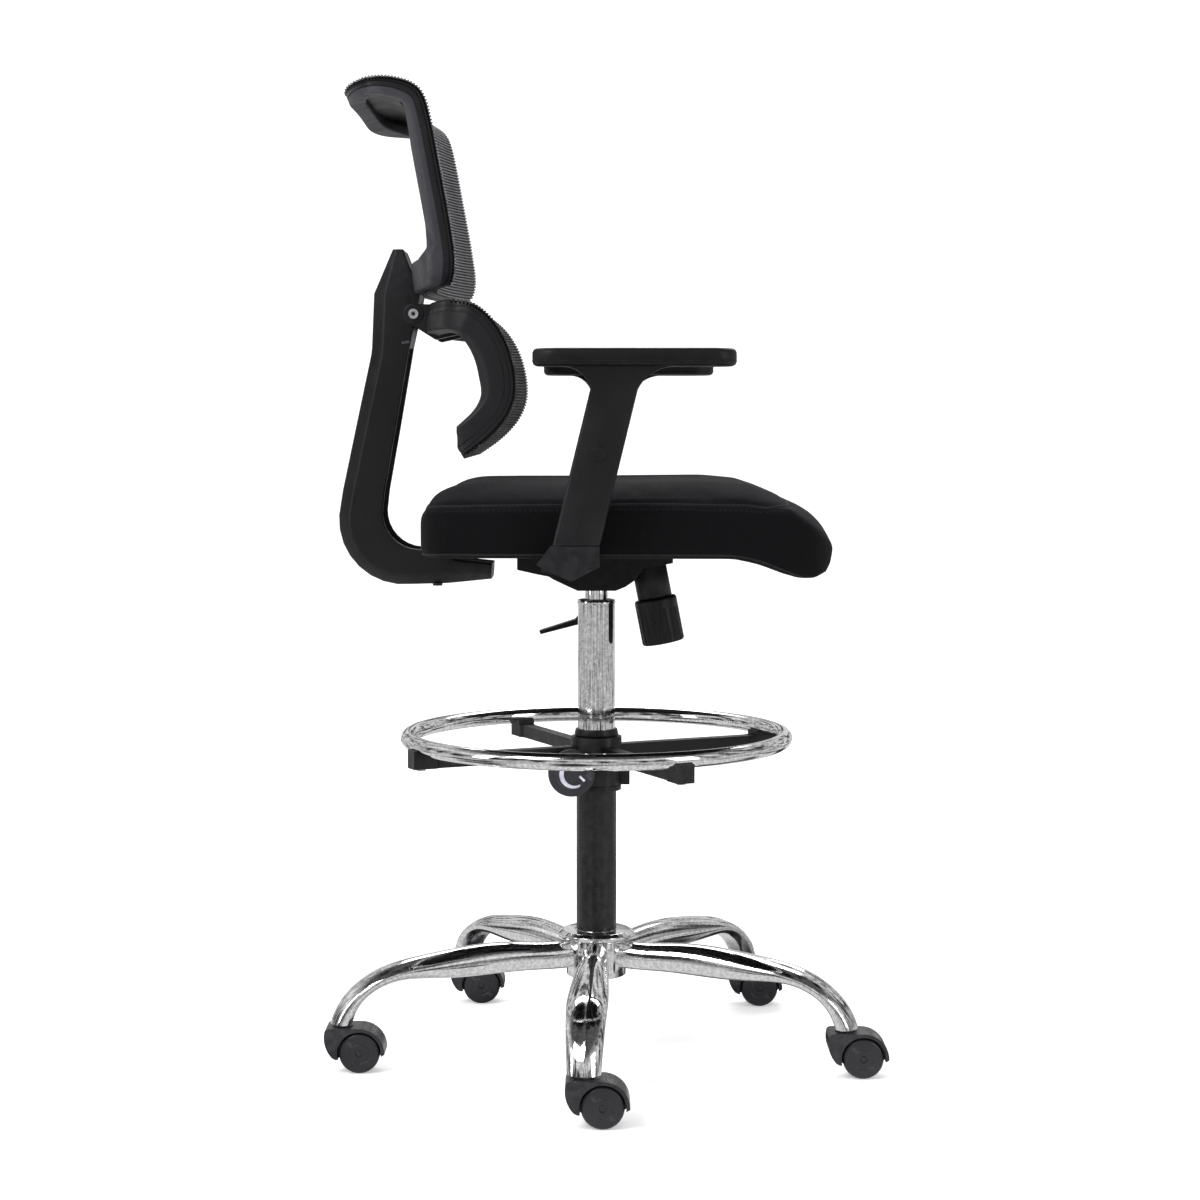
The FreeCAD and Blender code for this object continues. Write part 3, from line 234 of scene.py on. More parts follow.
class Shader(Nodes):
    """A Principled material with small helpers for its procedural detail."""

    def __init__(self, name, colour, roughness, **sockets):
        self.material = bpy.data.materials.new(name)
        self.material.use_nodes = True
        super().__init__(self.material.node_tree, "Object")
        self.base = self.tree.nodes["Principled BSDF"]
        self.colour = colour
        self.base.inputs["Base Color"].default_value = (*colour, 1)
        self.base.inputs["Roughness"].default_value = roughness
        for socket, value in sockets.items():
            self.base.inputs[socket.replace("_", " ")].default_value = value
        self.normal = None

    def upwards(self):
        """How far the surface faces up, from -1 to 1."""
        geometry, split = self.node("NewGeometry"), self.node("SeparateXYZ")
        self.link(geometry.outputs["Normal"], split.inputs[0])
        return split.outputs["Z"]

    def set_colour(self, value):
        self.link(value, self.base.inputs["Base Color"])

    def varied(self, value, spread, start=0.3, end=0.7):
        """The base colour, darker and lighter by a share of itself."""
        low = [c * (1 - spread) for c in self.colour]
        high = [min(1, c * (1 + spread)) for c in self.colour]
        return self.ramp(value, low, high, start, end)

    def vary_roughness(self, value, low, high):
        self.link(self.ramp(value, low, high), self.base.inputs["Roughness"])

    def worn_and_highlit_edges(self, colour, wear_and_highlight, start=0.515, end=0.56):
        """Lighter where the surface turns sharply outwards, broken up by fine noise: rubbed wear
        and a painted edge highlight.
        """
        geometry = self.node("NewGeometry")
        edge = self.ramp(geometry.outputs["Pointiness"], 0, 1, start, end)
        patchy = self.ramp(self.noise(0.009, 4), 0.15, 1.0, 0.35, 0.65)
        self.set_colour(self.mix(self.combine("MULTIPLY", edge, patchy), colour, wear_and_highlight))

    def bump(self, value, depth, strength=1.0):
        """Relief of depth metres, added to any relief made before."""
        bump = self.node("Bump")
        bump.inputs["Strength"].default_value = strength
        bump.inputs["Distance"].default_value = depth
        self.link(value, bump.inputs["Height"])
        if self.normal:
            self.link(self.normal, bump.inputs["Normal"])
        self.normal = bump.outputs["Normal"]
        self.link(self.normal, self.base.inputs["Normal"])


def moulded_plastic(name, grey, roughness, grain=0.0007, depth=0.00006, gloss=0.3):
    """Grained plastic: spark-eroded skin, faint flow marks, and edges lightened partly as rubbed
    wear and partly as a painted highlight.
    """
    colour = (grey, grey, grey * 1.2)
    made = Shader(name, colour, roughness, Specular_IOR_Level=gloss)
    flow = made.varied(made.noise(0.06, 3, (1, 1, 0.4)), 0.22)
    # Lighter edges by pointiness: partly rubbed wear, partly a painted edge highlight.
    made.worn_and_highlit_edges(flow, [min(1, c * 2.2 + 0.004) for c in colour])
    made.vary_roughness(made.noise(0.025, 4), roughness - 0.07, roughness + 0.08)
    made.bump(made.noise(grain, 2), depth, 0.7)
    return made.material


def chrome():
    """Bright plating with faint clouding, polishing haze and a little dust."""
    made = Shader("chrome_plate", (0.76, 0.76, 0.765), 0.07, Metallic=1.0)
    clouded = made.varied(made.noise(0.004, 5), 0.22)
    dust = made.ramp(made.noise(0.0015, 4), 0, 1, 0.62, 0.75)
    made.set_colour(made.mix(dust, clouded, (0.5, 0.5, 0.5)))
    made.vary_roughness(made.noise(0.01, 5), 0.035, 0.12)
    made.bump(made.noise(0.018, 2), 0.00016, 0.2)
    return made.material


def zinc_steel():
    """Dull zinc plating, unevenly grey."""
    made = Shader("zinc_steel", (0.62, 0.62, 0.64), 0.3, Metallic=1.0)
    made.set_colour(made.varied(made.noise(0.006), 0.14))
    made.vary_roughness(made.noise(0.004, 4), 0.22, 0.42)
    made.bump(made.noise(0.001, 3), 0.00005, 0.4)
    return made.material


def seat_weave():
    """Plain-weave upholstery: crossed threads along the three axes, slubs, a soft nap and a painted
    sheen that keeps the top lighter than the darkened sides.
    """
    made = Shader("seat_weave", (0.0065, 0.0065, 0.0085), 0.95, Sheen_Weight=0.03,
                  Sheen_Roughness=0.45, Specular_IOR_Level=0.15)
    pitch = 0.0013
    along, across, up = [made.threads(axis, pitch) for axis in "XYZ"]
    weave = made.combine("MAXIMUM", made.combine("MULTIPLY", along, across),
                         made.combine("MULTIPLY", up, made.combine("MAXIMUM", along, across)))
    slubs = made.combine("MULTIPLY", made.noise(0.0022, 4, (1, 0.3, 1)), made.noise(0.03, 3))
    woven = made.mix(weave, made.varied(slubs, 0.5, 0.15, 0.4), (0.013, 0.013, 0.016))
    # Painted light: the colour goes to near black where the surface faces sideways or down, so the
    # top reads as lit with a sheen.
    painted_top_sheen = made.ramp(made.upwards(), 0, 1, 0.15, 0.9)
    made.set_colour(made.mix(painted_top_sheen, (0.0026, 0.0026, 0.0034), woven))
    made.bump(made.noise(0.012, 3), 0.0006, 0.35)
    made.bump(made.noise(0.0012, 3), 0.0002, 0.5)
    made.bump(weave, 0.0004, 0.8)
    return made.material


def mesh_yarn(name, grey):
    """Knitted yarn: fine filaments round each rib, uneven dye, and painted shade that darkens its
    underside.
    """
    made = Shader(name, (grey, grey, grey * 1.05), 0.7, Sheen_Weight=0.15,
                  Sheen_Roughness=0.4, Specular_IOR_Level=0.25)
    stitches = made.threads("Y", 0.0017)
    dyed = made.varied(made.noise(0.02, 4), 0.25)
    knitted_yarn = made.mix(stitches, [c * 0.3 for c in made.colour], dyed)
    # Painted shade: the colour goes to near black where the surface faces down.
    painted_underside_shade = made.ramp(made.combine("ADD", made.upwards(), 1), 1, 0, 0.25, 0.75)
    made.set_colour(made.mix(painted_underside_shade, knitted_yarn, (0.008, 0.008, 0.009)))
    made.bump(made.noise(0.0005, 3, (1, 0.3, 1)), 0.0001, 0.6)
    made.bump(stitches, 0.0002, 0.6)
    return made.material


def piping_cord():
    """Black corded edging, a little shaggy."""
    made = Shader("piping_weave", (0.0045, 0.0045, 0.0055), 0.9, Sheen_Weight=0.04)
    made.set_colour(made.varied(made.noise(0.003, 3), 0.4))
    made.bump(made.noise(0.0009, 3, (1, 1, 3)), 0.0002, 0.7)
    return made.material


def pan_felt():
    """The black dust cover and board under the seat: pressed fibres."""
    made = Shader("pan_felt", (0.012, 0.012, 0.013), 0.95, Specular_IOR_Level=0.1)
    made.set_colour(made.varied(made.noise(0.0016, 5), 0.5))
    made.bump(made.noise(0.0011, 4), 0.0002, 0.7)
    return made.material


MATERIALS = {
    "chrome": chrome(),
    "steel": zinc_steel(),
    "black_plastic": moulded_plastic("black_plastic_grain", 0.0055, 0.38, gloss=0.28),
    "grey_plastic": moulded_plastic("grey_plastic_grain", 0.03, 0.5, gloss=0.25),
    "caster_plastic": moulded_plastic("caster_nylon", 0.011, 0.27, gloss=0.45),
    "wheel_plastic": moulded_plastic("wheel_nylon", 0.017, 0.34, 0.0011, 0.00004, 0.45),
    "black_metal": moulded_plastic("black_powder_coat", 0.004, 0.48, 0.0011, 0.0001, 0.2),
    "pan_board": pan_felt(),
    "seat_fabric": seat_weave(),
    "mesh_fabric": mesh_yarn("back_yarn", 0.23),
    "pad_rubber": moulded_plastic("pad_skin", 0.004, 0.5, 0.0015, 0.00012, 0.22),
}
LUMBAR_GREY = moulded_plastic("lumbar_band_grain", 0.0075, 0.46, gloss=0.25)
LACQUER = moulded_plastic("column_sleeve_gloss", 0.004, 0.28, 0.0009, 0.00003, 0.4)
PALE_MARK = moulded_plastic("pale_mark", 0.42, 0.5)
PIPING = piping_cord()
LUMBAR_YARN = mesh_yarn("lumbar_yarn", 0.09)


def dress_frame():
    """Give every carried-over node the finish of its slot."""
    for part in frame["record"]["subparts"]:
        finish = MATERIALS[part["material_slot"]]
        for slot in frame["nodes"][part["node"]].material_slots:
            slot.material = finish
    for node in ("column_sleeve", "seat_screws"):
        for slot in frame["nodes"][node].material_slots:
            slot.material = LACQUER


def round_edges(made, width, segments, least_turn):
    """Bevel the edges that turn by more than an angle in degrees; the width is in millimetres."""
    edges = made.modifiers.new("edges", "BEVEL")
    edges.width = width * MM
    edges.segments = segments
    edges.limit_method = "ANGLE"
    edges.angle_limit = math.radians(least_turn)
    edges.harden_normals = True


def break_edges(node, width):
    """Round a frame node's own edges with modifiers, leaving its mesh data as it is."""
    piece = frame["nodes"][node]
    weld = piece.modifiers.new("weld", "WELD")
    weld.merge_threshold = 0.00001
    round_edges(piece, width, 2, 38)


# ---------------- shapes, in millimetres


def spline(points, count):
    """Evenly spaced points along the natural cubic curve through the given ones."""
    knots = np.array(points, float)
    at = np.concatenate([[0], np.cumsum(np.linalg.norm(np.diff(knots, axis=0), axis=1))])
    gaps = np.diff(at)
    size = len(knots)
    matrix = np.eye(size)
    right = np.zeros_like(knots)
    for i in range(1, size - 1):
        matrix[i, i - 1:i + 2] = gaps[i - 1], 2 * (gaps[i - 1] + gaps[i]), gaps[i]
        before, after = (knots[i] - knots[i - 1]) / gaps[i - 1], (knots[i + 1] - knots[i]) / gaps[i]
        right[i] = 6 * (after - before)
    bend = np.linalg.solve(matrix, right)
    fine = np.linspace(0, at[-1], 60 * size)
    k = np.clip(np.searchsorted(at, fine) - 1, 0, size - 2)
    h = gaps[k][:, None]
    a = (at[k + 1] - fine)[:, None]
    b = (fine - at[k])[:, None]
    curve = (bend[k] * a ** 3 + bend[k + 1] * b ** 3) / (6 * h) \
        + (knots[k] / h - bend[k] * h / 6) * a + (knots[k + 1] / h - bend[k + 1] * h / 6) * b
    return evenly(curve, count)


def evenly(route, count):
    """The same open route with evenly spaced points."""
    route = np.array(route, float)
    run = np.concatenate([[0], np.cumsum(np.linalg.norm(np.diff(route, axis=0), axis=1))])
    wanted = np.linspace(0, run[-1], count)
    return np.stack([np.interp(wanted, run, route[:, axis]) for axis in range(route.shape[1])], 1)


def arc(start, middle, end, count):
    """Points along the circle through three points of a plane, ends included."""
    (ax, ay), (bx, by), (cx, cy) = start, middle, end
    turn = 2 * (ax * (by - cy) + bx * (cy - ay) + cx * (ay - by))
    squares = [x * x + y * y for x, y in (start, middle, end)]
    x = (squares[0] * (by - cy) + squares[1] * (cy - ay) + squares[2] * (ay - by)) / turn
    y = (squares[0] * (cx - bx) + squares[1] * (ax - cx) + squares[2] * (bx - ax)) / turn
    radius = math.hypot(ax - x, ay - y)
    angles = np.unwrap([math.atan2(q - y, p - x) for p, q in (start, middle, end)])
    return [(x + radius * math.cos(t), y + radius * math.sin(t))
            for t in np.linspace(angles[0], angles[2], count)]


def around(centre, radius, start, end, count):
    """Points round a centre from one angle in degrees to another, ends included."""
    return [(centre[0] + radius * math.cos(a), centre[1] + radius * math.sin(a))
            for a in np.linspace(math.radians(start), math.radians(end), count)]


def circle(centre, radius, count):
    """Points all the way round, none of them twice."""
    return around(centre, radius, 0, 360 - 360 / count, count)


def pair(radius):
    """A corner's radius across and up, where one number stands for both."""
    return radius if hasattr(radius, "__len__") else (radius, radius)


def soften(corners, radius, steps=3):
    """A closed outline with its corners rounded; radius is one number or one for each corner."""
    corners = [np.array(c, float) for c in corners]
    radii = radius if hasattr(radius, "__len__") else [radius] * len(corners)
    points = []
    for i, corner in enumerate(corners):
        before, after = corners[i - 1], corners[(i + 1) % len(corners)]
        reach = min(radii[i], 0.49 * np.linalg.norm(before - corner),
                    0.49 * np.linalg.norm(after - corner))
        if reach < 0.01:
            points.append(corner)
            continue
        start = corner + (before - corner) / np.linalg.norm(before - corner) * reach
        end = corner + (after - corner) / np.linalg.norm(after - corner) * reach
        for t in np.linspace(0, 1, steps + 1):
            points.append((1 - t) ** 2 * start + 2 * t * (1 - t) * corner + t * t * end)
    return points


def rounded_rectangle(low, high, radii, steps=8, longest=8.0):
    """A closed rectangle with rounded corners and no stretch longer than the last number.

    A radius can be a pair: so far across and so far up.
    """
    (left, bottom), (right, top) = low, high
    corners = []
    quarters = ((left, bottom, 180), (right, bottom, 270), (right, top, 0), (left, top, 90))
    for (side, end, turn), radius in zip(quarters, radii):
        across, up = pair(radius)
        middle = (side + (across if side == left else -across),
                  end + (up if end == bottom else -up))
        corners += [np.array((middle[0] + across * x, middle[1] + up * y))
                    for x, y in around((0, 0), 1, turn, turn + 90, steps + 1)]
    route = []
    for i, point in enumerate(corners):
        after = corners[(i + 1) % len(corners)]
        cuts = max(1, math.ceil(np.linalg.norm(after - point) / longest))
        route += [point + (after - point) * cut / cuts for cut in range(cuts)]
    return route


def sweep(sections, closed=False):
    """A skin through sections with the same number of points; open sweeps get end caps."""
    count = len(sections[0])
    points = [tuple(p) for section in sections for p in section]
    spans = len(sections) if closed else len(sections) - 1
    faces = []
    for i in range(spans):
        first, second = i * count, (i + 1) % len(sections) * count
        for j in range(count):
            k = (j + 1) % count
            faces.append((first + j, first + k, second + k, second + j))
    if not closed:
        last = (len(sections) - 1) * count
        faces.append(tuple(reversed(range(count))))
        faces.append(tuple(range(last, last + count)))
    return points, faces


def merge(*shapes):
    """Several shapes as one, not joined."""
    points, faces = [], []
    for more_points, more_faces in shapes:
        start = len(points)
        points += list(more_points)
        faces += [tuple(start + i for i in face) for face in more_faces]
    return points, faces


def slab(outline, low, high):
    """An outline of (x, z) corners from y = low to y = high."""
    return sweep([[(x, y, z) for x, z in outline] for y in (low, high)])


def lathe(profile, centre, axis, steps=64):
    """A closed profile of (radius, distance along the axis) turned round the axis."""
    along = Vector(axis).normalized()
    side = along.orthogonal().normalized()
    other = along.cross(side)
    sections = []
    for x, y in circle((0, 0), 1, steps):
        out = side * x + other * y
        sections.append([Vector(centre) + out * r + along * h for r, h in profile])
    return sweep(sections, closed=True)


def tube(route, radius, sides=8, closed=False):
    """A round tube along an open route or a loop."""
    route = [Vector(p) for p in route]
    count = len(route)
    sections = []
    for i, place in enumerate(route):
        before, after = i - 1, (i + 1) % count
        if not closed:
            before, after = max(before, 0), min(i + 1, count - 1)
        way = (route[after] - route[before]).normalized()
        side = way.cross(Vector((0, 0, 1)))
        side = side.normalized() if side.length > 0.01 else Vector((1, 0, 0))
        up = side.cross(way)
        sections.append([place + side * x + up * y for x, y in circle((0, 0), radius, sides)])
    return sweep(sections, closed)


def mirror_y(shape):
    """The same shape on the chair's other side."""
    points, faces = shape
    return [(x, -y, z) for x, y, z in points], [tuple(reversed(face)) for face in faces]


def piece(name, shape, body, slot, *stands_for, finish=None, smooth=35, bevel=0):
    """A shown mesh, made in millimetres, that rides on a body and stands for frame nodes."""
    points, faces = shape
    mesh = bpy.data.meshes.new(name)
    mesh.from_pydata([tuple(c * MM for c in p) for p in points], [], faces)
    work = bmesh.new()
    work.from_mesh(mesh)
    bmesh.ops.remove_doubles(work, verts=work.verts, dist=0.000005)
    bmesh.ops.recalc_face_normals(work, faces=work.faces)
    work.to_mesh(mesh)
    work.free()
    mesh.materials.append(finish or MATERIALS[slot])
    mesh.shade_smooth()
    mesh.set_sharp_from_angle(angle=math.radians(smooth))
    made = bpy.data.objects.new(name, mesh)
    bpy.context.collection.objects.link(made)
    if bevel:
        round_edges(made, bevel, 3, 28)
    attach(made, body)
    if stands_for:
        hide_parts(*stands_for)
    return made


# ---------------- seat


SEAT_LOW, SEAT_HIGH = box_mm("seat_cushion")
SEAT_HALF = SEAT_HIGH[1]
SEAT_CORNERS = (34, 60)
SEAT_KINK = 222
TOP_LINE = ((-203, 684), (-199, 697), (-190, 709), (-174, 717), (-151, 722), (-100, 722.5),
            (-20, 722.5), (136, 724), (180, 720), (205, 712), (SEAT_KINK, 703), (235, 697.5),
            (251, 688), (264, 676), (272, 664), (275.5, 652))
BOTTOM_LINE = ((-203, 637), (158, 636), (186, 630), (212, 620), (234, 613.5), (252, 612.5),
               (265, 619), (272, 630), (275.5, 645))
CREASE_LINE = ((-203, 682), (-197, 694), (-180, 698), (-100, 700), (60, 702), (170, 700),
               (SEAT_KINK, 692), (250, 673), (268, 657), (275.5, 649))
CROWN_WIDTH = 76
SEAM_RADIUS = 34


def height_on(line, x):
    """A side line's height at a distance forward."""
    return float(np.interp(x, [p[0] for p in line], [p[1] for p in line]))


def seat_half_width(x):
    """Half the plan's width, narrower round its corners."""
    rear, front = SEAT_CORNERS
    short = max(rear - (x - SEAT_LOW[0]), 0) or max(front - (SEAT_HIGH[0] - x), 0)
    radius = rear if x < 0 else front
    return SEAT_HALF - radius + math.sqrt(max(radius ** 2 - short ** 2, 0))


def seat_top(x, inset, slack=0):
    """Height of the crowned top, so far in from the side."""
    crease, top = height_on(CREASE_LINE, x), height_on(TOP_LINE, x) - slack
    rise = math.sin(math.pi / 2 * min(max(inset, 0) / CROWN_WIDTH, 1)) ** 0.85
    return crease + (top - crease) * rise


def seat_section(x, slack):
    """Closed section across the seat: flat underside, upright sides, crowned top."""
    half, bottom = seat_half_width(x), height_on(BOTTOM_LINE, x)
    crease = height_on(CREASE_LINE, x)
    side = [(half - 8, bottom), (half - 2.5, bottom + 1.5), (half - 0.5, bottom + 5)]
    side += [(half, bottom + (crease - bottom) * share) for share in (0.3, 0.55, 0.8)]
    side += [(half - 0.6, crease - 3), (half - 2, crease)]
    flat = CROWN_WIDTH + 4
    insets = list(np.linspace(4, flat, 16))
    insets += [flat + (half - flat) * share for share in (0.2, 0.45, 0.7, 0.93)]
    side += [(half - inset, seat_top(x, inset - 2, slack)) for inset in insets]
    mirrored = [(-y, z) for y, z in reversed(side)]
    return [(x, y, z) for y, z in side + mirrored]


def seat_shape(slack):
    """The cushion, its top lower by the slack, with sections closer together at both ends."""
    stations = list(SEAT_LOW[0] + np.array([0, 1, 3, 6, 10, 16, 24, 34, 48]))
    stations += list(np.arange(-140, 200, 10))
    from_nose = (70, 62, 56, 50, 44, 38, 32, 26, 20, 15, 10, 6, 3, 1, 0)
    stations += list(SEAT_HIGH[0] - 0.5 - np.array(from_nose))
    return sweep([seat_section(x, slack) for x in stations])


def crease_route():
    """The seam round the top panel: along both sides, across the rear and across the kink."""
    outline = rounded_rectangle((-198, -SEAT_HALF + 1.5), (SEAT_KINK, SEAT_HALF - 1.5),
                                (32, SEAM_RADIUS, SEAM_RADIUS, 32), 8, 3)
    route = []
    for x, y in outline:
        inset = seat_half_width(x) - abs(y)
        route.append(np.array((x, y, seat_top(x, inset - 2))))
    return route


def hem_route():
    """The seam round the side panel's lower edge."""
    outline = rounded_rectangle((SEAT_LOW[0] + 1, -SEAT_HALF + 1), (262, SEAT_HALF - 1),
                                (SEAM_RADIUS, 56, 56, SEAM_RADIUS), 8, 3)
    return [np.array((x, y, height_on(BOTTOM_LINE, x) + 3)) for x, y in outline]


def remesh(made, voxel):
    """Even mesh all over, as a plain mesh with nothing left to apply."""
    modifier = made.modifiers.new("voxels", "REMESH")
    modifier.mode = "VOXEL"
    modifier.voxel_size = voxel * MM
    apply_modifiers(made)


def apply_modifiers(made):
    """Replace the mesh by its evaluated one."""
    depsgraph = bpy.context.evaluated_depsgraph_get()
    final = bpy.data.meshes.new_from_object(made.evaluated_get(depsgraph))
    made.modifiers.clear()
    made.data = final


def vertex_array(mesh, key="co"):
    """Every vertex's place or normal, one row each."""
    values = np.zeros(len(mesh.vertices) * 3)
    mesh.vertices.foreach_get(key, values)
    return values.reshape(-1, 3)


def move_vertices(mesh, places):
    """Put every vertex in its new place."""
    mesh.vertices.foreach_set("co", places.ravel())
    mesh.update()


def swell(made, pressure, frames, cap):
    """Inflate the piece as cloth; the top may rise by cap millimetres, the sides less."""
    rest, normals = vertex_array(made.data), vertex_array(made.data, "normal")
    allowed = cap * np.clip(0.3 + 0.7 * normals[:, 2:], 0, 1)
    cloth = made.modifiers.new("cloth", "CLOTH")
    settings = cloth.settings
    settings.use_pressure = True
    settings.uniform_pressure_force = pressure
    settings.effector_weights.gravity = 0
    settings.tension_stiffness = settings.compression_stiffness = 25
    settings.bending_stiffness = 1.5
    scene = bpy.context.scene
    scene.frame_start = cloth.point_cache.frame_start = 1
    scene.frame_end = cloth.point_cache.frame_end = frames
    for number in range(1, frames + 1):
        scene.frame_set(number)
    apply_modifiers(made)
    moved = vertex_array(made.data) - rest
    far = np.linalg.norm(moved, axis=1)[:, None]
    moved *= np.minimum(1, allowed * MM / np.maximum(far, 1e-9))
    move_vertices(made.data, rest + moved)
    scene.frame_set(1)


def press_seams(made, seams, depth, reach):
    """Draw the surface in along the seams' lines."""
    points = np.array([p for seam in seams for p in seam]) * MM
    places, normals = vertex_array(made.data), vertex_array(made.data, "normal")
    nearest = np.full(len(places), 1e9)
    for start in range(0, len(points), 64):
        chunk = points[start:start + 64]
        gaps = np.linalg.norm(places[:, None, :] - chunk[None], axis=2)
        nearest = np.minimum(nearest, gaps.min(axis=1))
    inwards = depth * MM * np.exp(-(nearest / (reach * MM)) ** 2)
    move_vertices(made.data, places - normals * inwards[:, None])


def on_surface(made, line):
    """The line's points moved to the nearest points of the piece's surface, in millimetres."""
    depsgraph = bpy.context.evaluated_depsgraph_get()
    tree = BVHTree.FromObject(made, depsgraph)
    return [np.array(tree.find_nearest(Vector(p) * MM)[0]) / MM for p in line]


def smooth_loop(route, rounds=8):
    """A closed route with its small steps evened out."""
    route = np.array(route)
    for _ in range(rounds):
        route = (np.roll(route, 1, 0) + 2 * route + np.roll(route, -1, 0)) / 4
    return list(route)


def stitches(route):
    """A row of separate stitches along a closed route."""
    length, gap, radius = 3.4, 1.8, 0.35
    parts = []
    run = 0.0
    stitch = [route[0]]
    for before, after in zip(route, route[1:]):
        run += float(np.linalg.norm(after - before))
        if run < length:
            stitch.append(after)
        elif run > length + gap:
            if len(stitch) > 1:
                parts.append(tube(stitch, radius, 5))
            stitch = [after]
            run = 0.0
    return merge(*parts)


def make_seat():
    """The cushion, blown up and drawn in at its seams, with their cords and stitches."""
    voxel, pressure, frames, seam_depth, seam_reach, stitch_drop = 5, 4, 20, 2.4, 5, 7.0
    rise = 3
    cushion = piece("seat_cushion_cover", seat_shape(rise), "seat", "seat_fabric", "seat_cushion")
    remesh(cushion, voxel)
    swell(cushion, pressure, frames, rise)
    crease, hem = on_surface(cushion, crease_route()), on_surface(cushion, hem_route())
    press_seams(cushion, [crease, hem], seam_depth, seam_reach)
    cushion.data.shade_smooth()
    subdivision = cushion.modifiers.new("smooth", "SUBSURF")
    subdivision.levels = subdivision.render_levels = 1
    crease = smooth_loop(on_surface(cushion, crease))
    hem = smooth_loop(on_surface(cushion, hem))
    below = [point - np.array((0, 0, stitch_drop)) for point in crease]
    below = smooth_loop(on_surface(cushion, below))
    for name, shape in (("seat_piping", tube(crease, 1.5, closed=True)),
                        ("seat_hem", tube(hem, 1.2, closed=True)),
                        ("seat_stitches", stitches(below))):
        piece(name, shape, "seat", "seat_fabric", finish=PIPING)


# ---------------- back


BACK_PROFILE = ((-156, 950), (-165, 1015), (-177, 1082), (-189, 1143), (-201, 1171),
                (-224, 1182), (-259, 1183), (-296, 1171))
LUMBAR_PROFILE = ((-154, 751), (-124, 773), (-104, 795), (-93, 820), (-93, 850), (-103, 885),
                  (-122, 914), (-143, 929), (-166, 934))
BACK_HALF, LUMBAR_HALF = 225, 215
BACK_HOLLOW = 40
LIP_ARCH = 8
BACK_CORNERS = (42, 42, (130, 50), (130, 50))
LUMBAR_CORNERS = (30,) * 4
RIB_PITCH, YARN_PITCH = 3.8, 3.4


class Shell:
    """A back surface: a side profile, hollowed towards the middle of its width.

    The arch raises the middle of the top edge.
    """

    def __init__(self, profile, half_width, hollows, arch=0):
        self.path = spline(profile, 400)
        ways = np.gradient(self.path, axis=0)
        self.ways = ways / np.linalg.norm(ways, axis=1)[:, None]
        self.length = float(np.linalg.norm(np.diff(self.path, axis=0), axis=1).sum())
        self.half_width = half_width
        self.hollows = hollows
        self.arch = arch

    def point(self, up, y, depth):
        """The point up millimetres along the profile, y across and so deep behind the surface."""
        share = min(max(up / self.length, 0), 1)
        at = share * (len(self.path) - 1)
        i = min(int(at), len(self.path) - 2)
        place = self.path[i] + (self.path[i + 1] - self.path[i]) * (at - i)
        way = self.ways[i]
        half = int(share > 0.5)
        start, end = self.hollows[half:half + 2]
        hollow = start + (end - start) * (2 * share - half)
        crown = 1 - (y / self.half_width) ** 2
        rise = self.arch * crown * min(max((share - 0.5) / 0.35, 0), 1)
        return (place[0] - way[1] * depth - hollow * crown, y, place[1] + way[0] * depth + rise)


def ring_sections(shell, bands, corners, outline):
    """Sections of a closed band round the shell; outline gives each one's (across, depth)."""
    side_band, low_band, high_band = bands
    half, height = shell.half_width, shell.length
    sections = []
    for y, up in rounded_rectangle((-half, 0), (half, height), corners, 12, 8):
        inner_y = y * (half - side_band) / half
        inner_up = low_band + up * (height - low_band - high_band) / height
        width = math.hypot(inner_y - y, inner_up - up)
        section = []
        for across, depth in outline(up / height, y, width):
            share = across / width
            section.append(shell.point(up + (inner_up - up) * share,
                                       y + (inner_y - y) * share, depth))
        sections.append(section)
    return sections


def trim_depth(share):
    """The front ring is slimmer towards the lip."""
    return 13 - 5 * max(0, share - 0.75) / 0.25


def back_trim_outline(share, y, width):
    """Front ring: rounded edges and a tuck groove along its outer side."""
    depth = trim_depth(share)
    groove = depth * 0.42
    return soften([(0, 0), (0, groove), (1.4, groove + 0.5), (1.4, groove + 1.3),
                   (0, groove + 1.8), (0, depth - 0.3), (width, depth - 0.3), (width, 0)],
                  (2.5, 0.3, 0.3, 0.3, 0.3, 0.8, 1.5, 3), 3)


def ring_depth(share, y):
    """Rear ring: deep across the bottom, slimmer up the sides and thin at the lip."""
    middle = 1 - (y / BACK_HALF) ** 2
    deep, slim, lip = 31 - 5 * middle, 22, 15.5
    if share < 0.3:
        return deep + (slim - deep) * min(max((share - 0.115) / 0.03, 0), 1)
    return slim if share < 0.75 else slim + (lip - slim) * (share - 0.75) / 0.25


def back_frame_outline(share, y, width):
    """Rear ring: a shadow gap behind the trim, then rounded edges."""
    near, far = trim_depth(share) + 0.2, ring_depth(share, y)
    inner = ring_depth(0.11 + share * 0.77, y)
    return soften([(0.9, near), (0.9, near + 0.9), (0, near + 1.6), (0, far), (width, inner),
                   (width, near)], (0.2, 0.3, 0.4, 6, 4, 1), 4)


def rib(shell, up, reach, depth, height, thickness):
    """One yarn across the shell, tucked round its sides."""
    stops = [(-reach - 0.9, depth + 4.2), (-reach - 0.9, depth + 1.6), (-reach - 0.1, depth + 0.4)]
    middle = [(y, depth) for y in np.linspace(-reach + 1.5, reach - 1.5, 42)]
    stops = stops + middle + [(-y, deep) for y, deep in reversed(stops)]
    hexagon = [(-0.5, 0), (-0.28, -0.5), (0.28, -0.5), (0.5, 0), (0.28, 0.5), (-0.28, 0.5)]
    return sweep([[shell.point(up + a * height, y, deep + b * thickness) for a, b in hexagon]
                  for y, deep in stops])


def warp(shell, y, low, high, depth, width):
    """One thin upright yarn behind the ribs."""
    corners = [(-0.5, 0), (0, -0.3), (0.5, 0), (0, 0.3)]
    return sweep([[shell.point(up, y + a * width, depth + b * width) for a, b in corners]
                  for up in np.linspace(low, high, 36)])


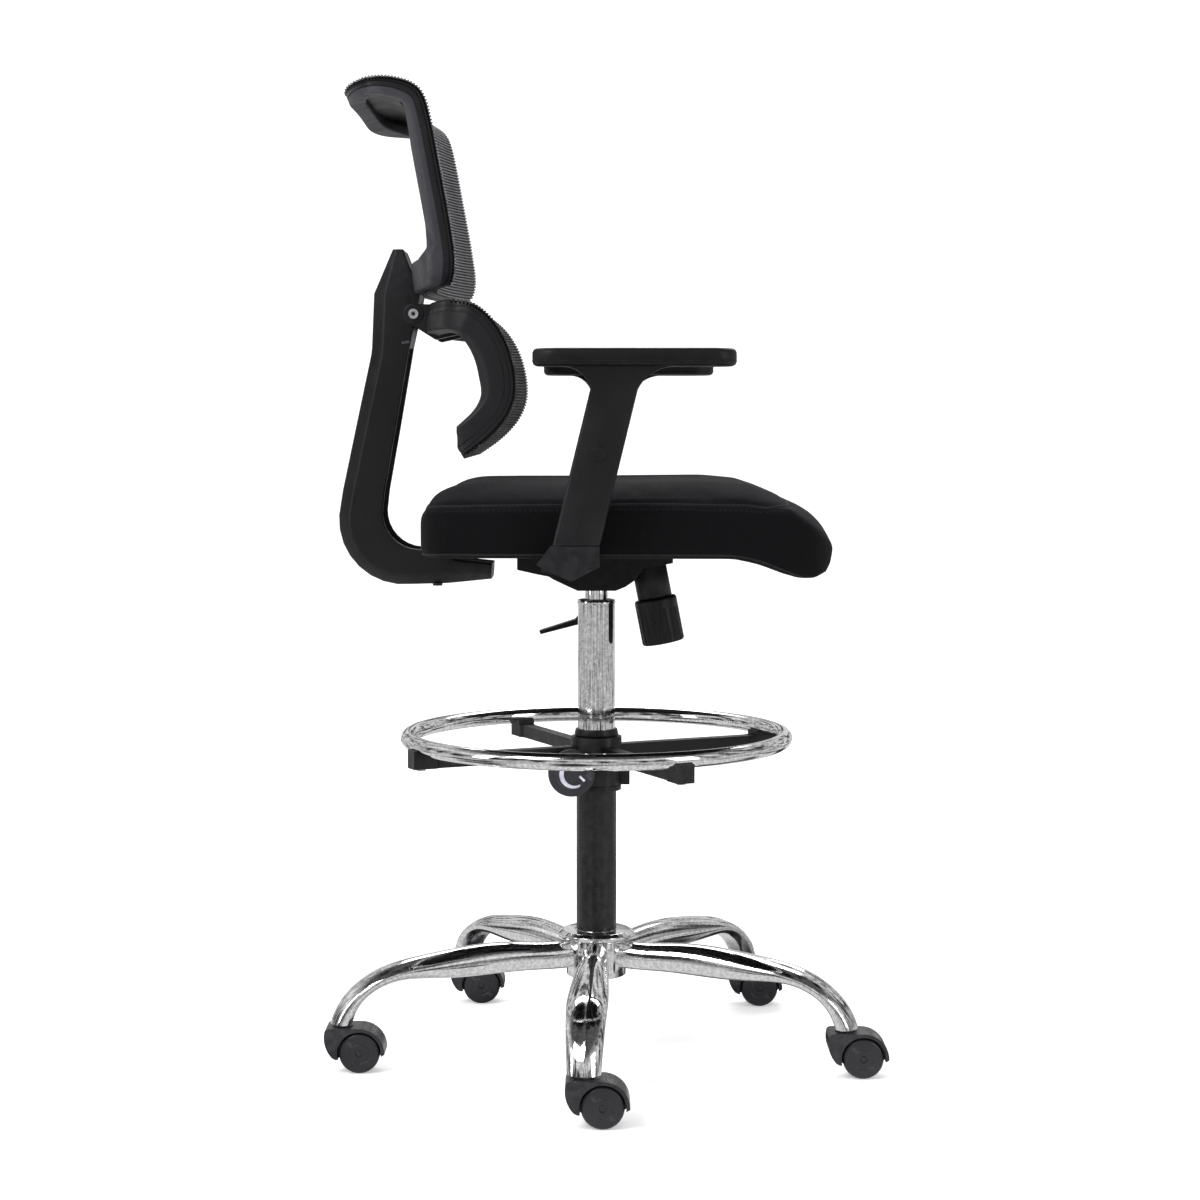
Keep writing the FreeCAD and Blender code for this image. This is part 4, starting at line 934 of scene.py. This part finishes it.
def cut_short(shell, corners, y):
    """How much of the height a rounded corner takes away at so far across: below and above."""
    taken = []
    for across, up in (pair(corners[0]), pair(corners[2])):
        beyond = max(0, abs(y) - shell.half_width + across) / across
        taken.append(up * (1 - math.sqrt(max(0, 1 - beyond ** 2))))
    return taken


def half_reach(shell, corners, up):
    """Half the sheet's width at a height, less round the corners."""
    radius, left = (corners[0], up) if up < shell.length / 2 else (corners[2], shell.length - up)
    across, high = pair(radius)
    beyond = max(0, 1 - left / high)
    return shell.half_width - across + across * math.sqrt(1 - beyond ** 2)


def knitted(shell, corners):
    """Ribs and upright yarns over the shell, cut to its rounded corners."""
    edge, side_edge, proud, rib_height, rib_thickness, yarn = 1.5, 4, 0.9, 0.56, 1.3, 0.8
    parts = []
    for number in range(int((shell.length - 2 * edge) / RIB_PITCH) + 1):
        up = edge + number * RIB_PITCH
        parts.append(rib(shell, up, half_reach(shell, corners, up), -proud,
                         RIB_PITCH * rib_height, rib_thickness))
    for y in np.arange(side_edge - shell.half_width, shell.half_width - 3, YARN_PITCH):
        below, above = cut_short(shell, corners, y)
        parts.append(warp(shell, y, below + 1, shell.length - above - 1, -0.1, yarn))
    return merge(*parts)


def lip_dark_panel(shell):
    """A thin dark panel under the mesh of the rolled top edge, which darkens the lip's inside."""
    low, high, reach, near, far = 248, shell.length - 16, 186, 3, 4.2
    levels = np.linspace(low, high, 12)
    sections = []
    for y in np.linspace(-reach, reach, 25):
        short = 26 * (abs(y) / reach) ** 4
        ups = low + (levels - low) * (high - short - low) / (high - low)
        front = [shell.point(up, y, near) for up in ups]
        back = [shell.point(up, y, far) for up in reversed(ups)]
        sections.append(front + back)
    return sweep(sections)


def make_upper_back():
    """Trim and frame rings round the knitted back, with bands at the side, below and above."""
    trim_bands, frame_bands = (24, 22, 24), (28, 36, 25)
    shell = Shell(BACK_PROFILE, BACK_HALF, (BACK_HOLLOW, BACK_HOLLOW, 0), LIP_ARCH)
    front = ring_sections(shell, trim_bands, BACK_CORNERS, back_trim_outline)
    trim = piece("back_trim_ring", sweep(front, True), "seat", "black_plastic", "back_trim")
    rear = ring_sections(shell, frame_bands, BACK_CORNERS, back_frame_outline)
    ring = piece("back_frame_ring", sweep(rear, True), "seat", "grey_plastic", "back_frame")
    piece("lip_dark_panel", lip_dark_panel(shell), "seat", "black_plastic")
    cloth = piece("back_mesh_knit", knitted(shell, BACK_CORNERS), "seat", "mesh_fabric",
                  "back_mesh")


def lumbar_trim_outline(share, y, width):
    """Front ring with a tuck groove halfway back."""
    return soften([(0, 0), (0, 6), (0.7, 6.4), (0.7, 7), (0, 7.4), (0, 12.8), (width, 12.8),
                   (width, 0)], (2.5, 0.2, 0.2, 0.2, 0.2, 0.4, 1.5, 3), 3)


def lumbar_band_outline(share, y, width):
    """Deep rear ring with a shadow gap behind the trim."""
    return soften([(0.6, 12.9), (0.6, 13.5), (0, 14), (0, 34), (width, 34), (width, 12.9)],
                  (0.2, 0.3, 0.4, 5, 4, 1), 4)


def cut_tip(shape):
    """Flatten whatever reaches behind the lumbar loop's lower tip onto an upright face."""
    tip_x, below = -161, 800
    points, faces = shape
    return [(max(x, tip_x), y, z) if z < below else (x, y, z) for x, y, z in points], faces


def lumbar_knuckle(side):
    """Eye on the pivot bolt and the tongue that joins it to the loop."""
    inner, outer = sorted((side * 40.5, side * 60))
    eye = circle((-221, 923), 12.5, 40)
    tongue = [(-221, 935.2), (-180, 934), (-168, 898), (-195, 892), (-226, 911.5)]
    return merge(slab(eye, inner, outer), slab(tongue, inner + 1, outer - 1))


def make_lumbar():
    """The hinged loop: band, trim and knit on its two knuckles, and the pivot bolt."""
    shell = Shell(LUMBAR_PROFILE, LUMBAR_HALF, (0, BACK_HOLLOW, BACK_HOLLOW))
    bands = (30, 30, 34)
    rear = ring_sections(shell, bands, LUMBAR_CORNERS, lumbar_band_outline)
    band = piece("lumbar_band", cut_tip(sweep(rear, True)), "lumbar", "black_plastic",
                 "lumbar_frame", finish=LUMBAR_GREY)
    front = ring_sections(shell, bands, LUMBAR_CORNERS, lumbar_trim_outline)
    trim = piece("lumbar_trim", cut_tip(sweep(front, True)), "lumbar", "black_plastic")
    for side, name in ((1, "left"), (-1, "right")):
        piece("lumbar_knuckle_" + name, lumbar_knuckle(side), "lumbar", "black_plastic", bevel=1.2)
    cloth = piece("lumbar_mesh_knit", cut_tip(knitted(shell, LUMBAR_CORNERS)), "lumbar",
                  "mesh_fabric", "lumbar_mesh", finish=LUMBAR_YARN)
    break_edges("lumbar_bolt", 0.7)
    low, high = box_mm("lumbar_bolt")
    x, _, z = (low + high) / 2
    # Painted shade: dark hex discs on the bolt's ends stand in for the shade inside its hex
    # sockets.
    socket = [(0.01, -0.3), (2.4, -0.3), (2.4, 0.12), (0.01, 0.12)]
    sockets = [lathe(socket, (x, y, z), (0, side, 0), 6)
               for y, side in ((low[1], -1), (high[1], 1))]
    piece("lumbar_bolt_socket_shades", merge(*sockets), "seat", "black_plastic")


# ---------------- spine


def spine_stations():
    """Rear and front points of the bar from its foot to its top, and the channel's depth."""
    bend = 9
    rear = [(-129, 600), (-176, 595), (-186, 594)]
    rear += arc((-228, 593), (-296, 618), (-317, 678), bend)
    rear += [(-312, 709), (-293, 797), (-276, 875), (-275, 884), (-272, 949), (-248, 1002)]
    front = [(-128, 619), (-176, 624), (-186, 636.6)]
    front += arc((-219, 636.6), (-250, 651), (-262, 683), bend)
    front += [(-259, 709), (-245, 786), (-230, 872), (-228, 884), (-214, 948), (-235, 1002)]
    channel = [0, 0, 2] + list(np.linspace(12, 30, bend)) + [31, 30, 22, 0, 0, 0]
    return list(zip(rear, front, channel))


def spine_section(rear, front, channel):
    """A chamfered bar section, hollowed from its front between two side walls."""
    rear, front = np.array(rear, float), np.array(front, float)
    depth = float(np.linalg.norm(front - rear))
    half, wall, chamfer = 40, 9, min(15, depth * 0.4)
    channel = max(0.2, min(channel, depth - 14))
    corners = [(0, -half + chamfer), (0, half - chamfer), (chamfer, half), (depth, half),
               (depth, half - wall), (depth - channel, half - wall - channel * 0.06),
               (depth - channel, -half + wall + channel * 0.06), (depth, -half + wall),
               (depth, -half), (chamfer, -half)]
    radii = (2.5, 2.5, 2, 3, 1.2, 2, 2, 1.2, 3, 2)
    section = []
    for deep, y in soften(corners, radii, 3):
        x, z = rear + (front - rear) * deep / depth
        section.append((x, y, z))
    return section


def make_spine():
    """The bar, the stiffening ribs across its channel and a small pale tab on each side."""
    stations = spine_stations()
    bar = sweep([spine_section(*station) for station in stations])
    ribs = []
    for rear, front, channel in stations[4:15]:
        rear, front = np.array(rear, float), np.array(front, float)
        inward = (rear - front) / np.linalg.norm(rear - front)
        across = np.array([-inward[1], inward[0]])
        start, end = front + inward * 5, front + inward * channel
        outline = [start - across * 1.3, start + across * 1.3, end + across * 2, end - across * 2]
        ribs.append(slab([tuple(p) for p in outline], -31.5, 31.5))
    piece("spine_bar", bar, "seat", "black_plastic", "spine", smooth=30)
    piece("spine_ribs", merge(*ribs), "seat", "black_plastic", bevel=0.4)
    tabs = [slab([(-237, 887), (-227.5, 888.5), (-228, 891.5), (-237.5, 890)],
                 side * 40 - 0.5, side * 40 + 0.5) for side in (1, -1)]
    piece("spine_tabs", merge(*tabs), "seat", "grey_plastic", bevel=0.25)


# ---------------- arms


ARM_LEAN = math.radians(13.7)
PAD_LOW, PAD_HIGH = box_mm("arm_pad_right")
SLEEVE_LOW, SLEEVE_HIGH = box_mm("arm_sleeve_right")
ARM_Y = (SLEEVE_LOW[1] + SLEEVE_HIGH[1]) / 2
ARM_HALF = (SLEEVE_HIGH[1] - SLEEVE_LOW[1]) / 2
ARM_FOOT_X = -22.5
POST_HALF = 26 / math.cos(ARM_LEAN)


def arm_x(z):
    """The post's centre line."""
    return ARM_FOOT_X + (z - 654) * math.tan(ARM_LEAN)


def sleeve_section(rear, front, ridge):
    """From rear to front edge; ridge is how far the outer face stands proud in a shallow vee."""
    (rear_x, rear_z), (front_x, front_z) = rear, front
    corners = [(0, ARM_HALF - 6 * ridge), (0.45, ARM_HALF), (1, ARM_HALF - 5 * ridge),
               (1, -ARM_HALF), (0, -ARM_HALF)]
    width = front_x - rear_x
    flat = [(share * width, out) for share, out in corners]
    return [(rear_x + across, ARM_Y - out, rear_z + (front_z - rear_z) * across / width)
            for across, out in soften(flat, (3.5, 1.2, 3.5, 3.5, 3.5), 3)]


def sleeve_shape():
    """The leaning post, spread into a tee under the pad."""
    head_bottom, head_top = 829, PAD_LOW[2] - 0.3
    heights = (654.6, 656, 700, 800, head_bottom)
    rear_edge = [(arm_x(z) - POST_HALF, z) for z in heights]
    front_edge = [(arm_x(z) + POST_HALF, z) for z in heights]
    rear_edge += arc(rear_edge[-1], (-13, 843.5), (-36, head_top), 10)[1:]
    front_edge += arc(front_edge[-1], (58, 843.5), (90, head_top), 10)[1:]
    ridges = [1, 1, 1, 1, 0.9] + list(np.linspace(0.7, 0, 9))
    return sweep([sleeve_section(*station) for station in zip(rear_edge, front_edge, ridges)])


def bracket_shape():
    """Faceted cap under the sleeve's seam, the inner post and the tongue under the seat."""
    outer = [(-51, 653.6, 11), (-26.5, 653.6, 17), (4, 653.6, 12), (4, 630, 11), (-28, 614, 15),
             (-67, 632, 9)]
    face = [(x, ARM_Y - out, z) for x, z, out in outer]
    back = [(x, ARM_Y + ARM_HALF, z) for x, z, out in outer]
    points = face + back
    faces = [(0, 1, 4, 5), (1, 2, 3, 4), (11, 10, 9, 8, 7, 6)]
    faces += [(i, i + 6, (i + 1) % 6 + 6, (i + 1) % 6) for i in range(6)]
    tongue = slab([(-62, 623), (-62, 636.4), (0, 636.4), (0, 628), (-28, 616)],
                  ARM_Y + ARM_HALF - 4, -120)
    half_width, half_depth, groove, floor = 20.5, 11.6, 0.45, -0.55
    channel = [(-1, -1), (-groove, -1), (-groove, floor), (groove, floor), (groove, -1), (1, -1),
               (1, 1), (-1, 1)]
    post = [[(arm_x(z) + a * half_width, ARM_Y + b * half_depth, z)
             for a, b in soften(channel, 0.07, 2)] for z in (650, 770)]
    teeth = []
    for z in range(664, 760, 10):
        rear, front = arm_x(z) - 7, arm_x(z) + 7
        teeth.append(slab([(rear, z), (front, z), (front, z + 5), (rear, z + 5)],
                          ARM_Y + floor * half_depth - 0.6, ARM_Y + floor * half_depth + 1))
    return merge((points, faces), tongue, sweep(post), *teeth)


def pad_shape():
    """Moulded slab: crowned top, soft upper rim and cut-back lower edge."""
    centre_x = (PAD_LOW[0] + PAD_HIGH[0]) / 2
    half = ((PAD_HIGH[0] - PAD_LOW[0]) / 2, (PAD_HIGH[1] - PAD_LOW[1]) / 2)
    bottom, top = PAD_LOW[2], PAD_HIGH[2]
    outline = rounded_rectangle((-half[0], -half[1]), (half[0], half[1]), (26,) * 4, 8, 7)
    levels = ((bottom, 7), (bottom + 0.3, 3.5), (bottom + 1.6, 1.3), (bottom + 4, 0.3),
              (bottom + 10, 0), (top - 5, 0.2), (top - 2.6, 1.2), (top - 1, 3), (top - 0.35, 5.5),
              (top - 0.1, 10), (top, 18), (top, 30))
    loops = []
    for z, inset in levels:
        loops.append([(centre_x + x * (1 - inset / half[0]), ARM_Y + y * (1 - inset / half[1]), z)
                      for x, y in outline])
    return sweep(loops)


def pad_seam():
    """The parting line round the pad."""
    z = PAD_LOW[2] + 5.5
    low, high = PAD_LOW - 0.15, PAD_HIGH + 0.15
    loop = [np.array((x, y, z)) for x, y in
            rounded_rectangle((low[0], low[1]), (high[0], high[1]), (26,) * 4, 8, 7)]
    return tube(loop, 0.45, 6, closed=True)


def bezel_shape():
    """A six-sided rim round the release button."""
    low, high = box_mm("arm_button_right")
    x, _, z = (low + high) / 2
    radius = (high[0] - low[0]) / 2
    profile = [(radius + 0.4, -2), (radius + 0.4, 1.3), (radius + 2.2, 1.3), (radius + 2.8, -2)]
    return lathe(profile, (x, low[1] + 1.2, z), (0, -1, 0), 6)


def make_arms():
    """Both arms: sleeve and pad rise together on the bracket's post."""
    shapes = {"sleeve": sleeve_shape(), "bracket": bracket_shape(), "pad": pad_shape(),
              "seam": pad_seam(), "bezel": bezel_shape()}
    for name in ("right", "left"):
        turned = shapes if name == "right" else {k: mirror_y(s) for k, s in shapes.items()}
        arm = "arm_" + name
        piece("sleeve_" + name, turned["sleeve"], arm, "black_plastic", "arm_sleeve_" + name,
              smooth=28)
        piece("bracket_" + name, turned["bracket"], "seat", "black_plastic", "arm_bracket_" + name,
              smooth=28, bevel=1.6)
        pad = piece("pad_" + name, turned["pad"], arm, "pad_rubber", "arm_pad_" + name)
        piece("pad_seam_" + name, turned["seam"], arm, "pad_rubber")
        break_edges("arm_button_" + name, 0.6)
        piece("button_bezel_" + name, turned["bezel"], arm, "black_plastic", bevel=0.2)


# ---------------- casters


TRAIL = 21


def housing_shape(foot_x, foot_y):
    """Front block, curved hood over both wheels and the web between them."""
    trail, radius, rim, half, top = TRAIL, 25, 31, 21, 56
    axle = (trail, radius)
    crown = (trail, radius + rim)
    tail = (trail + rim, radius - 1)
    well = radius + 1.8
    outside = [(-16, top)] + arc(crown, (trail + rim * 0.7071, radius + rim * 0.7071), tail, 18)
    inside = around(axle, well, -7, 196, 30)
    front = [(-8.5, 18), (-12, 20)] + arc((-12, 20), (-20, 34), (-21, 51), 8)[1:]
    front += arc((-21, 51), (-19.5, 54.5), (-16, top), 5)[1:-1]
    hood = outside + inside + front
    web = around(axle, well + 1, -7, 187, 26) + [(-6, 17), (34, 12)]
    boss = circle((0, 0), 12.5, 32)
    stem_seat = sweep([[(x, y, z) for x, y in boss] for z in (top - 3, top + 0.9)])
    stub = lathe([(0.01, -half + 3.4), (3.9, -half + 3.4), (3.9, half - 3.4), (0.01, half - 3.4)],
                 (trail, 0, radius), (0, 1, 0), 24)
    shape = merge(slab(hood, -half, half), slab(web, -5.4, 5.4), stem_seat, stub)
    return [(x + foot_x, y + foot_y, z) for x, y, z in shape[0]], shape[1]


def wheel_shape(centre, outward):
    """One wheel: rounded tread and a moulded ring on its outer face; its hub cap is made apart."""
    inner, width = 6.2, 14.3
    tread = soften([(4.3, 0), (23.2, 0), (25, 1.8), (25, 8.6), (24.2, 11.8), (21.6, 13.5),
                    (12.5, width), (12, 13.9), (11.3, 13.9), (10.8, width + 0.1),
                    (4.3, width + 0.3)],
                   (0.2, 0.8, 1.2, 2.5, 2.5, 3, 0.3, 0.2, 0.2, 0.3, 0.2), 4)
    profile = [(radius, inner + along) for radius, along in tread]
    return lathe(profile, centre, (0, outward, 0), 72)


def hub_cap(centre, outward):
    """The pin's end and its dished washer."""
    profile = soften([(0.01, 15), (0.01, 20.9), (2.4, 20.9), (2.9, 20.3), (4.2, 20.3), (4.2, 15)],
                     (0, 0, 0.4, 0.3, 0.6, 0), 2)
    return lathe(profile, centre, (0, outward, 0), 32)


def make_casters():
    """A hood, its pin ends and two wheels on each leg."""
    for number in range(1, 6):
        low, high = box_mm("caster_wheel_left_%d" % number)
        x, _, z = (low + high) / 2
        y = (box_mm("caster_wheel_right_%d" % number)[0][1] + high[1]) / 2
        caster = "caster_%d" % number
        piece("caster_hood_%d" % number, housing_shape(x - TRAIL, y), caster,
              "caster_plastic", "caster_housing_%d" % number, bevel=0.9)
        caps = merge(hub_cap((x, y, z), 1), hub_cap((x, y, z), -1))
        piece("caster_caps_%d" % number, caps, caster, "caster_plastic")
        for name, outward in (("left", 1), ("right", -1)):
            wheel = "wheel_%s_%d" % (name, number)
            piece(wheel, wheel_shape((x, y, z), outward), wheel, "wheel_plastic",
                  "caster_" + wheel)


# ---------------- base and column


def upright_lathe(profile, steps=72):
    """A profile turned round the column's axis."""
    return lathe(profile, (0, 0, 0), (0, 0, 1), steps)


def make_hub():
    """Chrome hub with a faceted crown under the column's sleeve."""
    low, high = box_mm("base_hub")
    barrel_top, crown_radius, facets = 147, high[0], 20
    barrel = soften([(23.2, low[2]), (36, low[2]), (37.5, low[2] + 1.5), (37.5, barrel_top - 1),
                     (30, barrel_top), (23.2, barrel_top)], (0.3, 1, 1, 0.5, 0.3, 0.2), 2)
    crown = [(23.1, 146), (36, 146), (crown_radius - 2, 148.5), (crown_radius, 150.5),
             (crown_radius, 153.5), (crown_radius - 6, high[2] - 0.6), (27.5, high[2]),
             (26, high[2] - 1.5), (23.1, high[2] - 1.5)]
    piece("hub_barrel", upright_lathe(barrel), "base", "chrome", "base_hub")
    piece("hub_crown", upright_lathe(crown, facets), "base", "chrome", smooth=10, bevel=0.7)


def make_column_lip():
    """Rolled lip at the column's top."""
    top = box_mm("column_tube")[1][2]
    lip = soften([(21.6, top - 5), (23.7, top - 5), (23.9, top - 2.5), (23.2, top + 0.6),
                  (21.6, top + 0.6)], 0.6, 2)
    piece("column_lip", upright_lathe(lip), "base", "chrome")


def make_ring_knob_mark():
    """A pale crescent and a short pointer moulded on the ring's clamp knob."""
    low, high = box_mm("ring_knob")
    x, _, z = (low + high) / 2
    outer = around((x + 2, z - 1), 17, 105, 300, 30)
    inner = around((x + 4, z - 1), 13.6, 300, 105, 30)
    pointer = [(x + 9, z - 4), (x + 11, z - 2), (x + 17, z - 8), (x + 15, z - 10)]
    face = low[1]
    mark = merge(*[slab(line, face - 0.25, face + 0.6) for line in (outer + inner, pointer)])
    piece("ring_knob_mark", mark, "ring_knob", "grey_plastic", finish=PALE_MARK, bevel=0.1)


def make_frame_finish():
    """Broken edges on the frame nodes that stay in view; widths in millimetres."""
    for node, width in (("ring_spider", 0.9), ("mechanism_housing", 0.8), ("seat_plate", 0.6),
                        ("spring_cover", 0.8), ("ring_knob", 0.5), ("tension_knob", 0.4),
                        ("ring_bushing", 0.4), ("height_lever", 0.4)):
        break_edges(node, width)


make_camera()
make_lights()
make_floor()
dress_frame()
make_seat()
make_upper_back()
make_lumbar()
make_spine()
make_arms()
make_casters()
make_hub()
make_column_lip()
make_ring_knob_mark()
make_frame_finish()
